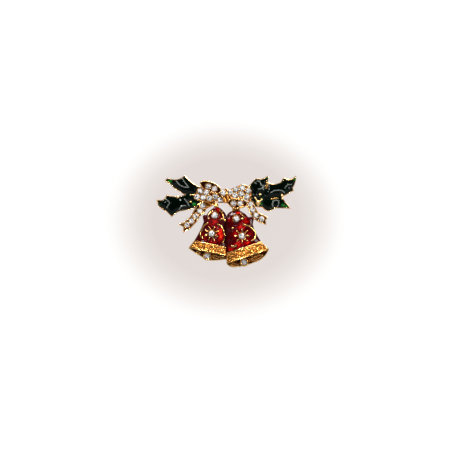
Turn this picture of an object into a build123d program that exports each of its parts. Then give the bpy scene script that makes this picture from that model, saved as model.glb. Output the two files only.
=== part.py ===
from build123d import *
import math
import os

os.makedirs("parts", exist_ok=True)

# Christmas brooch: two bells under a crystal-set ribbon bow, with holly on each side.
#
# Frame, in millimetres: the front faces -Y, +X runs to the viewer's right and +Z up,
# as the brooch is worn. The origin is the middle of the pin stem, behind the castings.
# Outlines are drawn on the front view, as (x, z) from the middle of the ornament, and
# a depth is counted forward from the flat back of the castings.
# A corner is (x, z, bulge): the bulge is the rise of the arc that runs on to the next
# corner, outward when positive on an outline that runs clockwise, 0 for a straight run.

# ---------------------------------------------------------------- driving sizes
PIN_RISE = 9.0          # pin stem above the middle of the ornament
PIN_STANDOFF = 3.0      # pin stem behind the flat back

BOW_STONE = 2.05        # stone diameters
CROWN_STONE = 2.5
STAR_STONE = 2.4
CLAPPER_STONE = 2.15
SEAT_GAP = 0.02         # all round a stone in its seat
STONE_SINK = 0.3        # girdle below the metal round it

LEAF_FLOOR = 1.3        # metal behind the green enamel
LEAF_RIM = 1.9          # top of the gold rims
RIM_WIDTH = 0.34
LEAF_ENAMEL_DROP = 0.1  # enamel below the rims

BAND_HEIGHT = 2.4       # ribbon levels of the bow, from the flat back
UPPER_LOOP_HEIGHT = 3.1
UPPER_LOOP_FLOOR = 2.3
FOLD_HEIGHT = 1.7
KNOT_HEIGHT = 3.3
LOWER_LOOP_HEIGHT = 2.6
TAIL_HEIGHT = 2.1
RAIL_WIDTH = 0.42       # raised edge round the loops and tails
RAIL_DROP = 0.35        # ribbon surface below its rails

SWELL_AXIS = 8.0        # axis of the bells' round front, behind the flat back
BELL_ENAMEL = 0.4       # thickness of the red enamel
LINE_RISE = 0.18        # scroll lines above the enamel
LINE_WIDTH = 0.6
BAND_RISE = 0.35        # textured band above the skirt
BELL_WALL = 1.2         # metal round the hollow mouth
TRAY_FLOOR = 0.8        # back wall of the mouth
TRAY_RIM = 1.7
TRAY_RIM_WIDTH = 0.45
COLLAR_WIDTH = 0.3      # gold collar round a bell stone
COLLAR_RISE = 0.35

CUP_WALL = 0.5          # clapper cup round its stone
CUP_HEIGHT = 2.9

STEM_RADIUS = 0.4
STEM_LENGTH = 24.0      # straight shank of the stem
STEM_POINT = 5.5        # tapered point beyond it
STEM_TIP_RADIUS = 0.06
EYE_RADIUS = 0.95
EYE_THICKNESS = 0.9
EAR_RADIUS = 0.88
RIVET_RADIUS = 0.4
RIVET_FIT = 0.04        # radial, rivet to stem eye
RIVET_HEAD_RADIUS = 0.75
RIVET_HEAD = 0.25
EAR_THICKNESS = 0.55
EAR_GAP = 0.06          # beside the stem eye
BASE_THICKNESS = 0.6    # soldered feet of the joint and the catch
CATCH_THICKNESS = 1.0
CATCH_AHEAD = 0.3       # roller's near end beyond the shank
ROLLER_BORE = 0.52
ROLLER_RADIUS = 0.95
ROLLER_FIT = 0.05       # radial, roller in catch
CATCH_RADIUS = 1.6
SLOT_WIDTH = 1.04       # way in for the stem
ROLLER_COLLAR = 1.25
ROLLER_COLLAR_LENGTH = 0.45
ROLLER_END_GAP = 0.06
TAB_REACH = 2.6
TAB_WIDTH = 0.9

FORWARD = (0, -1, 0)
DEEP = 12.0             # more than the relief of any piece


def layer(depth):
    """Drawing plane parallel to the flat back, so far in front of it."""
    return Plane(origin=(0, -PIN_STANDOFF - depth, -PIN_RISE), x_dir=(1, 0, 0), z_dir=FORWARD)


def at_front(x, z, depth):
    """Place in the model's frame of a point of the front view."""
    return (x, -PIN_STANDOFF - depth, z - PIN_RISE)


def face_of(corners, plane=Plane.XY):
    """Face inside a closed outline of (x, z, bulge) corners."""
    with BuildSketch(plane) as face:
        with BuildLine():
            for (x, z, bulge), (next_x, next_z, _) in zip(corners, corners[1:] + corners[:1]):
                if bulge:
                    SagittaArc((x, z), (next_x, next_z), bulge)
                else:
                    Line((x, z), (next_x, next_z))
        make_face()
    return face.sketch


def faces_of(outlines, plane):
    """One face over several outlines that overlap."""
    with BuildSketch(plane) as faces:
        for corners in outlines:
            add(face_of(corners))
    return faces.sketch


def tangents(start, end):
    """Headings at both ends of the side from one corner to the next."""
    run, rise = end[0] - start[0], end[1] - start[1]
    heading = math.atan2(rise, run)
    turn = 2 * math.atan2(2 * start[2], math.hypot(run, rise))
    return heading + turn, heading - turn


def drawn_in(corners, width):
    """A clockwise outline's corners, moved so that every side keeps a width from the old."""
    sides = list(zip(corners, corners[1:] + corners[:1]))
    moved = []
    for side, before in zip(sides, sides[-1:] + sides[:-1]):
        leaving, arriving = tangents(*side)[0], tangents(*before)[1]
        spread = 1 + math.cos(leaving - arriving)
        x = side[0][0] + width * (math.sin(leaving) + math.sin(arriving)) / spread
        z = side[0][1] - width * (math.cos(leaving) + math.cos(arriving)) / spread
        moved.append((x, z))
    lengths = [math.dist(start[:2], end[:2]) for start, end in sides]
    new_lengths = [math.dist(a, b) for a, b in zip(moved, moved[1:] + moved[:1])]
    bulges = [c[2] * new / old for c, new, old in zip(corners, new_lengths, lengths)]
    return [(x, z, bulge) for (x, z), bulge in zip(moved, bulges)]


def inset(corners, width, plane):
    """An outline's face, drawn in by a width all round."""
    return face_of(drawn_in(corners, width), plane)


def stroke(points, width, plane):
    """A line of constant width through points: an arc through each three."""
    with BuildSketch(plane) as face:
        with BuildLine() as path:
            if len(points) == 2:
                Line(*points)
            for start in range(0, len(points) - 2, 2):
                ThreePointArc(*points[start:start + 3])
        trace(line_width=width)
        for end in (points[0], points[-1]):
            with Locations(end):
                Circle(width / 2)
    return face.sketch


# ---------------------------------------------------------------- stones
GIRDLE = 0.06           # parts of a stone's diameter
CROWN = 0.18
PAVILION = 0.36
TABLE_RADIUS = 0.27
CULET_RADIUS = 0.1


def stone(diameter):
    """Brilliant cut chaton with its girdle's back at the origin, looking at -Y."""
    with BuildPart(mode=Mode.PRIVATE) as cut:
        with BuildSketch(Plane.XY):
            Polygon(
                (0, PAVILION * diameter),
                (CULET_RADIUS * diameter, PAVILION * diameter),
                (diameter / 2, 0),
                (diameter / 2, -GIRDLE * diameter),
                (TABLE_RADIUS * diameter, -(GIRDLE + CROWN) * diameter),
                (0, -(GIRDLE + CROWN) * diameter),
                align=None,
            )
        revolve(axis=Axis.Y)
    return cut.part


def seat(diameter):
    """Space for a stone, open to the front, with the seat gap all round."""
    radius = diameter / 2 + SEAT_GAP
    with BuildPart(mode=Mode.PRIVATE) as space:
        with BuildSketch(Plane.XY):
            Polygon(
                (0, PAVILION * diameter + SEAT_GAP),
                (CULET_RADIUS * diameter + SEAT_GAP, PAVILION * diameter + SEAT_GAP),
                (radius, 0),
                (radius, -diameter),
                (0, -diameter),
                align=None,
            )
        revolve(axis=Axis.Y)
    return space.part


def stones_node(name, diameter, places):
    """A group of equal stones at (x, z, metal height) places."""
    with BuildPart() as group:
        with Locations(*[at_front(x, z, height - STONE_SINK) for x, z, height in places]):
            add(stone(diameter))
    group.part.label = name
    export_step(group.part, f"parts/{name}.step")


def cut_seats(diameter, places):
    """Seats for a group of stones, cut from the part being built."""
    with Locations(*[at_front(x, z, height - STONE_SINK) for x, z, height in places]):
        add(seat(diameter), mode=Mode.SUBTRACT)


# ---------------------------------------------------------------- bow
LEFT_BAND = [
    (-11.95, 8.5, 0.3), (-11.6, 10.3, 0), (-10.9, 12.1, 0.5), (-8.6, 12.7, 0), (-6.5, 11.9, 0),
    (-2.2, 11.9, 0), (-0.6, 10.8, 0), (-0.8, 7.3, 0.2), (-3.0, 7.1, 0), (-4.4, 8.0, 0),
    (-6.5, 7.5, 0.1), (-9.8, 7.7, 0.1),
]
LEFT_FOLD = [(-10.1, 8.3, 0), (-4.0, 8.3, 0), (-4.1, 6.6, 0), (-7.6, 4.7, 0), (-9.9, 6.3, 0)]
LEFT_TAIL = [
    (-8.9, 7.6, 0.3), (-7.4, 5.6, 0.1), (-8.1, 3.2, -0.2), (-10.1, 1.5, 0), (-11.1, -0.2, -0.1),
    (-13.2, -2.4, 0.1), (-16.1, -4.0, 0), (-16.0, -1.9, 0), (-18.0, -0.8, 0), (-15.9, -0.1, 0),
    (-13.4, 2.0, 0), (-12.1, 4.4, 0), (-10.9, 6.4, 0),
]
RIGHT_UPPER = [
    (0.2, 8.8, 0), (0.2, 11.9, 0.1), (1.9, 12.2, 0.2), (4.5, 13.4, 0.15), (6.1, 13.9, 0.2),
    (8.6, 12.7, 0.2), (9.3, 11.0, 0.1), (8.8, 8.6, 0.3), (7.2, 8.1, 0), (5.5, 9.1, 0),
    (3.4, 8.6, 0.1),
]
RIGHT_LOWER = [
    (-0.3, 7.7, 0.1), (1.4, 8.6, 0.1), (4.6, 8.6, 0.1), (7.0, 7.9, 0.1), (8.0, 6.7, 0.3),
    (5.6, 5.1, 0.3), (2.1, 5.2, 0.1), (0.7, 6.4, 0),
]
RIGHT_TAIL = [
    (8.1, 8.3, 0.2), (9.9, 7.7, 0.2), (10.5, 5.5, 0), (12.1, 3.3, 0), (13.8, 2.7, 0),
    (15.3, 1.6, 0), (14.6, 0.6, 0), (14.7, -1.1, 0), (12.9, -0.5, 0.1), (11.5, 0.2, 0),
    (9.8, 1.3, 0), (8.7, 3.0, -0.1), (7.5, 5.6, 0.2),
]
BOW_OUTLINES = [LEFT_BAND, LEFT_FOLD, LEFT_TAIL, RIGHT_UPPER, RIGHT_LOWER, RIGHT_TAIL]

UPPER_LOOP = (-5.85, 12.85)     # the left upper loop, a leaning oval
UPPER_LOOP_AXES = (4.25, 1.95)
UPPER_LOOP_LEAN = -23.0
KNOT = (-0.3, 9.6)
KNOT_AXES = (1.9, 2.7)

TAIL_TOP = TAIL_HEIGHT - RAIL_DROP
LOWER_LOOP_TOP = LOWER_LOOP_HEIGHT - RAIL_DROP
LEFT_LOOP_STONES = [
    (-6.75, 13.2, UPPER_LOOP_FLOOR), (-4.45, 12.25, UPPER_LOOP_FLOOR),
    (-9.65, 11.45, BAND_HEIGHT), (-7.45, 10.95, BAND_HEIGHT), (-10.85, 9.25, BAND_HEIGHT),
    (-8.65, 9.0, BAND_HEIGHT), (-6.35, 8.75, BAND_HEIGHT), (-4.1, 9.4, BAND_HEIGHT),
    (-2.35, 8.15, BAND_HEIGHT),
]
KNOT_STONES = [(-1.2, 10.7, KNOT_HEIGHT)]
RIGHT_LOOP_STONES = [
    (1.35, 11.0, BAND_HEIGHT), (3.6, 12.1, BAND_HEIGHT), (5.85, 12.6, BAND_HEIGHT),
    (8.05, 11.55, BAND_HEIGHT), (3.15, 9.8, BAND_HEIGHT), (5.4, 10.35, BAND_HEIGHT),
    (7.55, 9.3, BAND_HEIGHT), (2.7, 6.85, LOWER_LOOP_TOP), (5.15, 6.85, LOWER_LOOP_TOP),
]
LEFT_TAIL_STONES = [
    (-8.75, 6.0, TAIL_TOP), (-9.85, 4.1, TAIL_TOP), (-11.4, 2.1, TAIL_TOP),
    (-12.95, 0.4, TAIL_TOP), (-14.65, -1.1, TAIL_TOP),
]
RIGHT_TAIL_STONES = [
    (8.95, 6.6, TAIL_TOP), (9.65, 4.45, TAIL_TOP), (10.95, 2.45, TAIL_TOP),
    (12.95, 1.1, TAIL_TOP),
]


def upper_loop_face(inward, plane):
    """The left upper loop's oval, drawn in by a width."""
    with BuildSketch(plane) as face:
        with Locations(UPPER_LOOP):
            Ellipse(UPPER_LOOP_AXES[0] - inward, UPPER_LOOP_AXES[1] - inward,
                    rotation=UPPER_LOOP_LEAN)
    return face.sketch


def knot_face(plane):
    """The knot's oval."""
    with BuildSketch(plane) as face:
        with Locations(KNOT):
            Ellipse(*KNOT_AXES)
    return face.sketch


def bow_footprint(plane):
    """Everything the bow covers on the flat back."""
    with BuildSketch(plane) as face:
        for corners in BOW_OUTLINES:
            add(face_of(corners))
        add(knot_face(Plane.XY))
        add(upper_loop_face(0, Plane.XY))
    return face.sketch


with BuildPart() as bow_casting:
    extrude(faces_of([LEFT_BAND, RIGHT_UPPER], layer(0)), amount=BAND_HEIGHT, dir=FORWARD)
    extrude(face_of(LEFT_FOLD, layer(0)), amount=FOLD_HEIGHT, dir=FORWARD)
    extrude(faces_of([LEFT_TAIL, RIGHT_TAIL], layer(0)), amount=TAIL_HEIGHT, dir=FORWARD)
    for tail in (LEFT_TAIL, RIGHT_TAIL):
        extrude(inset(tail, RAIL_WIDTH, layer(TAIL_TOP)), amount=RAIL_DROP, dir=FORWARD,
                mode=Mode.SUBTRACT)
    extrude(face_of(RIGHT_LOWER, layer(0)), amount=LOWER_LOOP_HEIGHT, dir=FORWARD)
    extrude(inset(RIGHT_LOWER, RAIL_WIDTH, layer(LOWER_LOOP_TOP)), amount=RAIL_DROP,
            dir=FORWARD, mode=Mode.SUBTRACT)
    extrude(upper_loop_face(0, layer(0)), amount=UPPER_LOOP_HEIGHT, dir=FORWARD)
    extrude(upper_loop_face(RAIL_WIDTH, layer(UPPER_LOOP_FLOOR)), amount=UPPER_LOOP_HEIGHT,
            dir=FORWARD, mode=Mode.SUBTRACT)
    extrude(knot_face(layer(0)), amount=KNOT_HEIGHT, dir=FORWARD)
    cut_seats(BOW_STONE, LEFT_LOOP_STONES + KNOT_STONES + RIGHT_LOOP_STONES)
    cut_seats(BOW_STONE, LEFT_TAIL_STONES + RIGHT_TAIL_STONES)
bow_casting.part.label = "bow_casting"
export_step(bow_casting.part, "parts/bow_casting.step")

stones_node("left_loop_stones", BOW_STONE, LEFT_LOOP_STONES)
stones_node("knot_stone", BOW_STONE, KNOT_STONES)
stones_node("right_loop_stones", BOW_STONE, RIGHT_LOOP_STONES)
stones_node("left_tail_stones", BOW_STONE, LEFT_TAIL_STONES)
stones_node("right_tail_stones", BOW_STONE, RIGHT_TAIL_STONES)

# ---------------------------------------------------------------- holly sprays
UPPER_LEAF = [
    (-22.9, 15.2, 0), (-22.0, 16.3, -0.15), (-18.4, 15.8, -0.2), (-15.6, 17.3, 0),
    (-13.8, 15.5, -0.2), (-9.4, 12.7, 0), (-9.4, 9.9, 0), (-15.6, 10.15, 0.1),
    (-17.7, 11.5, 0.35), (-20.6, 13.8, 0),
]
LOWER_LEAF = [
    (-15.6, 10.15, 0), (-9.4, 9.9, 0), (-9.4, 6.2, 0), (-13.0, 4.7, 0), (-17.6, 3.8, -0.15),
    (-20.3, 1.8, 0), (-22.0, 3.6, 0.15), (-25.2, 5.8, 0.1), (-25.9, 8.4, -0.1),
    (-23.7, 8.2, -0.2), (-22.2, 10.1, -0.15), (-18.0, 9.4, -0.1),
]
SHORT_LEAF = [
    (8.0, 8.9, 0), (8.4, 13.5, 0), (10.3, 15.7, 0.1), (11.2, 16.1, 0), (13.0, 16.0, -0.15),
    (15.5, 17.3, 0.1), (15.3, 14.8, 0), (14.7, 12.2, 0), (12.6, 8.6, 0),
]
LONG_LEAF = [
    (12.6, 8.6, 0), (14.7, 12.2, 0), (15.3, 14.8, -0.2), (17.5, 14.1, -0.2), (20.2, 14.9, 0),
    (20.7, 15.9, 0.5), (22.2, 15.8, -0.5), (25.8, 17.3, 0.4), (24.6, 12.6, 0),
    (25.0, 11.6, 0), (20.7, 9.2, 0),
]
LOW_LEAF = [
    (12.6, 8.6, 0), (20.7, 9.2, -0.1), (23.9, 4.9, 0), (18.4, 5.1, 0), (16.4, 4.1, 0.15),
    (14.6, 4.1, 0), (13.2, 5.3, 0), (10.4, 5.6, 0), (8.0, 8.9, 0),
]
LEFT_LEAVES = {"left_upper_leaf_enamel": UPPER_LEAF, "left_lower_leaf_enamel": LOWER_LEAF}
RIGHT_LEAVES = {
    "right_short_leaf_enamel": SHORT_LEAF,
    "right_long_leaf_enamel": LONG_LEAF,
    "right_low_leaf_enamel": LOW_LEAF,
}
LEFT_STUDS = [(-13.3, 10.0, 0.42), (-13.3, 7.5, 0.42)]
RIGHT_STUDS = [(12.4, 10.2, 0.5)]
STUD_RISE = 0.2
LEFT_NUBS = [(-18.1, 9.2, 0.5)]
RIGHT_NUBS = [(20.6, 9.9, 0.45), (20.7, 8.6, 0.4)]
BERRY = (11.75, 7.15, 1.0)      # x, z and radius of the large berry
BERRY_ARMS = [(10.6, 8.95), (13.0, 8.3)]
BERRY_FOOT = (11.6, 5.75)
ARM_WIDTH = 0.62


def discs(circles, plane):
    """Round faces at (x, z, radius) places."""
    with BuildSketch(plane) as face:
        for x, z, radius in circles:
            with Locations((x, z)):
                Circle(radius)
    return face.sketch


def berry_face(gap, plane):
    """What the berry cluster covers, grown by a gap."""
    centre = BERRY[:2]
    with BuildSketch(plane) as face:
        with Locations(centre):
            Circle(BERRY[2] + gap)
        for end in BERRY_ARMS + [BERRY_FOOT]:
            add(stroke([centre, end], ARM_WIDTH + 2 * gap, Plane.XY))
    return face.sketch


def spray_casting(name, leaves, studs, nubs, berries):
    """Gold spray: rims and a floor for each leaf, cut where the bow and berries stand."""
    with BuildPart() as casting:
        extrude(faces_of(leaves.values(), layer(0)), amount=LEAF_RIM, dir=FORWARD)
        extrude(discs(nubs, layer(0)), amount=LEAF_RIM + STUD_RISE, dir=FORWARD)
        for corners in leaves.values():
            extrude(inset(corners, RIM_WIDTH, layer(LEAF_FLOOR)), amount=LEAF_RIM,
                    dir=FORWARD, mode=Mode.SUBTRACT)
        extrude(discs(studs, layer(0)), amount=LEAF_RIM + STUD_RISE, dir=FORWARD)
        extrude(bow_footprint(layer(0)), amount=2 * KNOT_HEIGHT, dir=FORWARD,
                mode=Mode.SUBTRACT)
        if berries:
            extrude(berry_face(SEAT_GAP, layer(LEAF_FLOOR)), amount=LEAF_RIM, dir=FORWARD,
                    mode=Mode.SUBTRACT)
    casting.part.label = name
    export_step(casting.part, f"parts/{name}.step")
    return casting.part


def leaf_enamel(name, corners, studs, nubs, berries):
    """Green enamel of one leaf, flush inside its rims."""
    with BuildPart() as enamel:
        extrude(inset(corners, RIM_WIDTH, layer(LEAF_FLOOR)),
                amount=LEAF_RIM - LEAF_ENAMEL_DROP - LEAF_FLOOR, dir=FORWARD)
        extrude(discs(studs + nubs, layer(0)), amount=LEAF_RIM, dir=FORWARD,
                mode=Mode.SUBTRACT)
        extrude(bow_footprint(layer(0)), amount=KNOT_HEIGHT, dir=FORWARD, mode=Mode.SUBTRACT)
        if berries:
            extrude(berry_face(SEAT_GAP, layer(0)), amount=LEAF_RIM, dir=FORWARD,
                    mode=Mode.SUBTRACT)
    enamel.part.label = name
    export_step(enamel.part, f"parts/{name}.step")


spray_casting("left_spray_casting", LEFT_LEAVES, LEFT_STUDS, LEFT_NUBS, False)
spray_casting("right_spray_casting", RIGHT_LEAVES, RIGHT_STUDS, RIGHT_NUBS, True)
for leaf_name, leaf in LEFT_LEAVES.items():
    leaf_enamel(leaf_name, leaf, LEFT_STUDS, LEFT_NUBS, False)
for leaf_name, leaf in RIGHT_LEAVES.items():
    leaf_enamel(leaf_name, leaf, RIGHT_STUDS, RIGHT_NUBS, True)

with BuildPart() as berry_cluster:
    extrude(berry_face(0, layer(LEAF_FLOOR)), amount=LEAF_RIM + STUD_RISE - LEAF_FLOOR,
            dir=FORWARD)
    extrude(bow_footprint(layer(0)), amount=KNOT_HEIGHT, dir=FORWARD, mode=Mode.SUBTRACT)
    with Locations(at_front(BERRY[0], BERRY[1], LEAF_RIM)):
        Sphere(BERRY[2])
    with Locations(*[at_front(x, z, LEAF_RIM) for x, z in BERRY_ARMS]):
        Sphere(ARM_WIDTH / 2)
    split(bisect_by=layer(LEAF_FLOOR), keep=Keep.TOP)
berry_cluster.part.label = "berry_cluster"
export_step(berry_cluster.part, "parts/berry_cluster.step")

# ---------------------------------------------------------------- bells
VALLEY = 0.0            # the two bells meet on this upright line
STAR_RAYS = 8
RAY_START = 1.45
RAY_END = 2.6
RAY_WIDTH = 0.5

LEFT_BELL = {
    "cap": (-3.8, 6.0),
    "lean": -7.5,
    # height of the front along the axis, from the cap down
    "relief": [(-3.0, 1.4), (1.5, 2.6), (4.6, 3.4), (7.5, 3.2), (13.5, 3.8), (20.0, 5.0)],
    "skin": [
        (-14.1, -9.5, 0), (-11.9, -6.8, -0.25), (-8.4, 0.2, 0.1), (-8.8, 2.2, 0.2),
        (-7.4, 2.6, 0.25), (-4.9, 5.1, 0), (-4.65, 5.6, 0), (-2.9, 5.6, 0.4),
        (VALLEY, 2.3, 0), (VALLEY, -12.5, 0),
    ],
    "band": [(-14.1, -9.5, 0), (-11.9, -6.8, 0), (VALLEY, -9.2, 0), (VALLEY, -12.5, 0)],
    "hollow": [(-13.0, -11.8, 0), (-13.0, -9.3, 0), (-10.9, -7.4, 0), (VALLEY - 1.2, -9.3, 0),
               (VALLEY - 1.2, -14.0, 0)],
    "tray": [(-12.9, -8.6, 0), (VALLEY, -11.5, 0), (VALLEY, -13.9, 0.1), (-5.4, -14.4, 0.2),
             (-8.6, -13.4, 0.1), (-14.1, -9.8, 0)],
    "eyelet": [(-4.65, 5.3, 0), (-4.5, 7.0, 0), (-3.1, 7.0, 0), (-2.95, 5.3, 0)],
    "crown_stone": (-4.35, 2.55),
    "star_stone": (-5.5, -4.2),
    "star_turn": 19.0,
    "clapper": (-7.1, -12.5),
    "lines": [
        [(-3.2, -0.8), (-1.6, -1.9), (-0.8, -4.0), (-0.65, -6.1), (-1.5, -7.6)],
        [(-6.9, -0.4), (-8.2, -1.2), (-9.1, -3.0), (-9.5, -5.0), (-8.8, -5.9)],
        [(-2.4, 4.2), (-1.45, 2.8), (-1.4, 1.2)],
        [(-2.3, 0.9), (-1.4, 1.15), (-0.4, 0.35)],
        [(-6.8, 2.5), (-6.1, 3.3), (-5.3, 4.0)],
    ],
    "dots": [(-6.65, 1.3, 0.38)],
    "filigree": [(-10.4, -11.3, 0.9, 0.5, -28), (-4.0, -13.0, 1.3, 0.6, -10),
                 (-1.6, -13.2, 0.9, 0.5, 15)],
}
RIGHT_BELL = {
    "cap": (3.45, 4.5),
    "lean": 13.0,
    "relief": [(-3.0, 1.8), (1.5, 3.4), (4.6, 4.3), (7.5, 4.4), (13.5, 5.2), (22.0, 7.0)],
    "skin": [
        (VALLEY, -15.4, 0), (VALLEY, 2.0, 0.4), (1.95, 4.0, 0), (5.1, 4.1, 0.3),
        (8.0, 1.75, 0.1), (9.2, 1.9, 0.25), (10.1, 0.8, -0.1), (9.8, -1.2, -0.3),
        (12.8, -7.2, 0), (15.7, -10.1, 0),
    ],
    "band": [(VALLEY, -15.4, 0), (VALLEY, -11.35, 0), (12.8, -7.2, 0), (15.7, -10.1, 0)],
    "hollow": [(VALLEY + 1.2, -16.5, 0), (VALLEY + 1.2, -11.6, 0), (11.9, -8.2, 0),
               (14.3, -10.2, 0), (14.3, -12.2, 0)],
    "tray": [(VALLEY, -13.0, 0), (14.6, -9.0, 0), (15.8, -10.1, 0.9), (10.5, -15.0, 0.35),
             (3.0, -16.85, 0.4), (VALLEY, -15.6, 0)],
    "eyelet": [(1.95, 3.8, 0), (2.2, 5.5, 0), (4.8, 5.4, 0), (5.1, 3.9, 0)],
    "crown_stone": (3.6, 1.3),
    "star_stone": (5.7, -5.1),
    "star_turn": 0.0,
    "clapper": (6.5, -14.8),
    "lines": [
        [(6.15, -1.0), (8.2, -1.45), (9.8, -2.7), (10.75, -4.8), (9.5, -6.8)],
        [(5.2, 2.9), (5.9, 2.5), (6.6, 1.9)],
        [(1.9, -8.9), (2.7, -9.05), (3.5, -8.75)],
    ],
    "dots": [(5.9, 1.2, 0.4), (2.2, -2.3, 0.4)],
    "filigree": [(3.0, -15.95, 1.7, 0.6, -3), (11.2, -13.2, 2.4, 0.75, 24)],
}
CUP_RADIUS = CLAPPER_STONE / 2 + SEAT_GAP + CUP_WALL
EYELET_HEIGHT = 2.5
FILIGREE_HEIGHT = 1.9
FILIGREE_WIDTH = 0.3
CUP_APRON = 0.2         # mouth wall left round a clapper cup


def relief(bell, rise):
    """Solid behind a bell's round front, grown by a rise."""
    lean = math.radians(bell["lean"])
    origin = at_front(*bell["cap"], -SWELL_AXIS)
    drawing = Plane(origin=origin, x_dir=(math.cos(lean), 0, math.sin(lean)), z_dir=FORWARD)
    stations = [(SWELL_AXIS + height + rise, -down) for down, height in bell["relief"]]
    with BuildPart(mode=Mode.PRIVATE) as solid:
        with BuildSketch(drawing):
            Polygon((0, stations[0][1]), *stations, (0, stations[-1][1]), align=None)
        revolve(axis=Axis(origin, drawing.y_dir))
    return solid.part


def front_height(bell, x, z):
    """Height of a bell's round front at a point of the front view."""
    lean = math.radians(bell["lean"])
    right, up = x - bell["cap"][0], z - bell["cap"][1]
    across = right * math.cos(lean) + up * math.sin(lean)
    down = right * math.sin(lean) - up * math.cos(lean)
    for (above, high), (below, low) in zip(bell["relief"], bell["relief"][1:]):
        if above <= down <= below:
            height = high + (low - high) * (down - above) / (below - above)
    return math.sqrt((SWELL_AXIS + height) ** 2 - across ** 2) - SWELL_AXIS


def under_relief(face, bell, rise):
    """Prism of a face, as far forward as a bell's front grown by a rise."""
    with BuildPart(mode=Mode.PRIVATE) as solid:
        extrude(face, amount=DEEP, dir=FORWARD)
        add(relief(bell, rise), mode=Mode.INTERSECT)
    return solid.part


def star_face(bell, plane):
    """Eight rays round the star stone."""
    with BuildSketch(plane) as face:
        for ray in range(STAR_RAYS):
            angle = math.radians(bell["star_turn"] + 360 / STAR_RAYS * ray)
            x, z = bell["star_stone"]
            ends = [
                (x + reach * math.cos(angle), z + reach * math.sin(angle))
                for reach in (RAY_START, RAY_END)
            ]
            add(stroke(ends, RAY_WIDTH, Plane.XY))
    return face.sketch


def lines_face(bell, plane):
    """Scroll lines, dots and star rays that stand up through the enamel."""
    with BuildSketch(plane) as face:
        for points in bell["lines"]:
            add(stroke(points, LINE_WIDTH, Plane.XY))
        add(discs(bell["dots"], Plane.XY))
        add(star_face(bell, Plane.XY))
    return face.sketch


def bell_stones(bell):
    """Diameter and (x, z, metal height) of the two stones on a bell's front."""
    return [
        (diameter, (*bell[key], front_height(bell, *bell[key]) + COLLAR_RISE))
        for key, diameter in (("crown_stone", CROWN_STONE), ("star_stone", STAR_STONE))
    ]


def enamel_face(bell, plane):
    """The red field: the skin above the band, round the lines and collars."""
    with BuildSketch(plane) as face:
        add(face_of(bell["skin"]))
        add(face_of(bell["band"]), mode=Mode.SUBTRACT)
        add(face_of(bell["eyelet"]), mode=Mode.SUBTRACT)
        add(lines_face(bell, Plane.XY), mode=Mode.SUBTRACT)
        for diameter, (x, z, _) in bell_stones(bell):
            add(discs([(x, z, diameter / 2 + COLLAR_WIDTH)], Plane.XY), mode=Mode.SUBTRACT)
        add(bow_footprint(Plane.XY), mode=Mode.SUBTRACT)
    return face.sketch


def tray_face(bell, plane):
    """Back wall of the mouth, with room for the clapper cup."""
    with BuildSketch(plane) as face:
        add(face_of(bell["tray"]))
        add(discs([(*bell["clapper"], CUP_RADIUS + CUP_APRON)], Plane.XY))
    return face.sketch


def tray_rim_face(bell, plane):
    """Raised lip along the lower edge of the mouth."""
    with BuildSketch(plane) as face:
        add(tray_face(bell, Plane.XY))
        add(inset(bell["tray"], TRAY_RIM_WIDTH, Plane.XY), mode=Mode.SUBTRACT)
        add(face_of(bell["skin"]), mode=Mode.SUBTRACT)
    return face.sketch


def filigree_face(bell, plane):
    """Open gold ovals in the mouth."""
    with BuildSketch(plane) as face:
        for x, z, half_length, half_width, turn in bell["filigree"]:
            with Locations((x, z)):
                Ellipse(half_length, half_width, rotation=turn)
                Ellipse(half_length - FILIGREE_WIDTH, half_width - FILIGREE_WIDTH,
                        rotation=turn, mode=Mode.SUBTRACT)
        add(face_of(bell["skin"]), mode=Mode.SUBTRACT)
    return face.sketch


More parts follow.
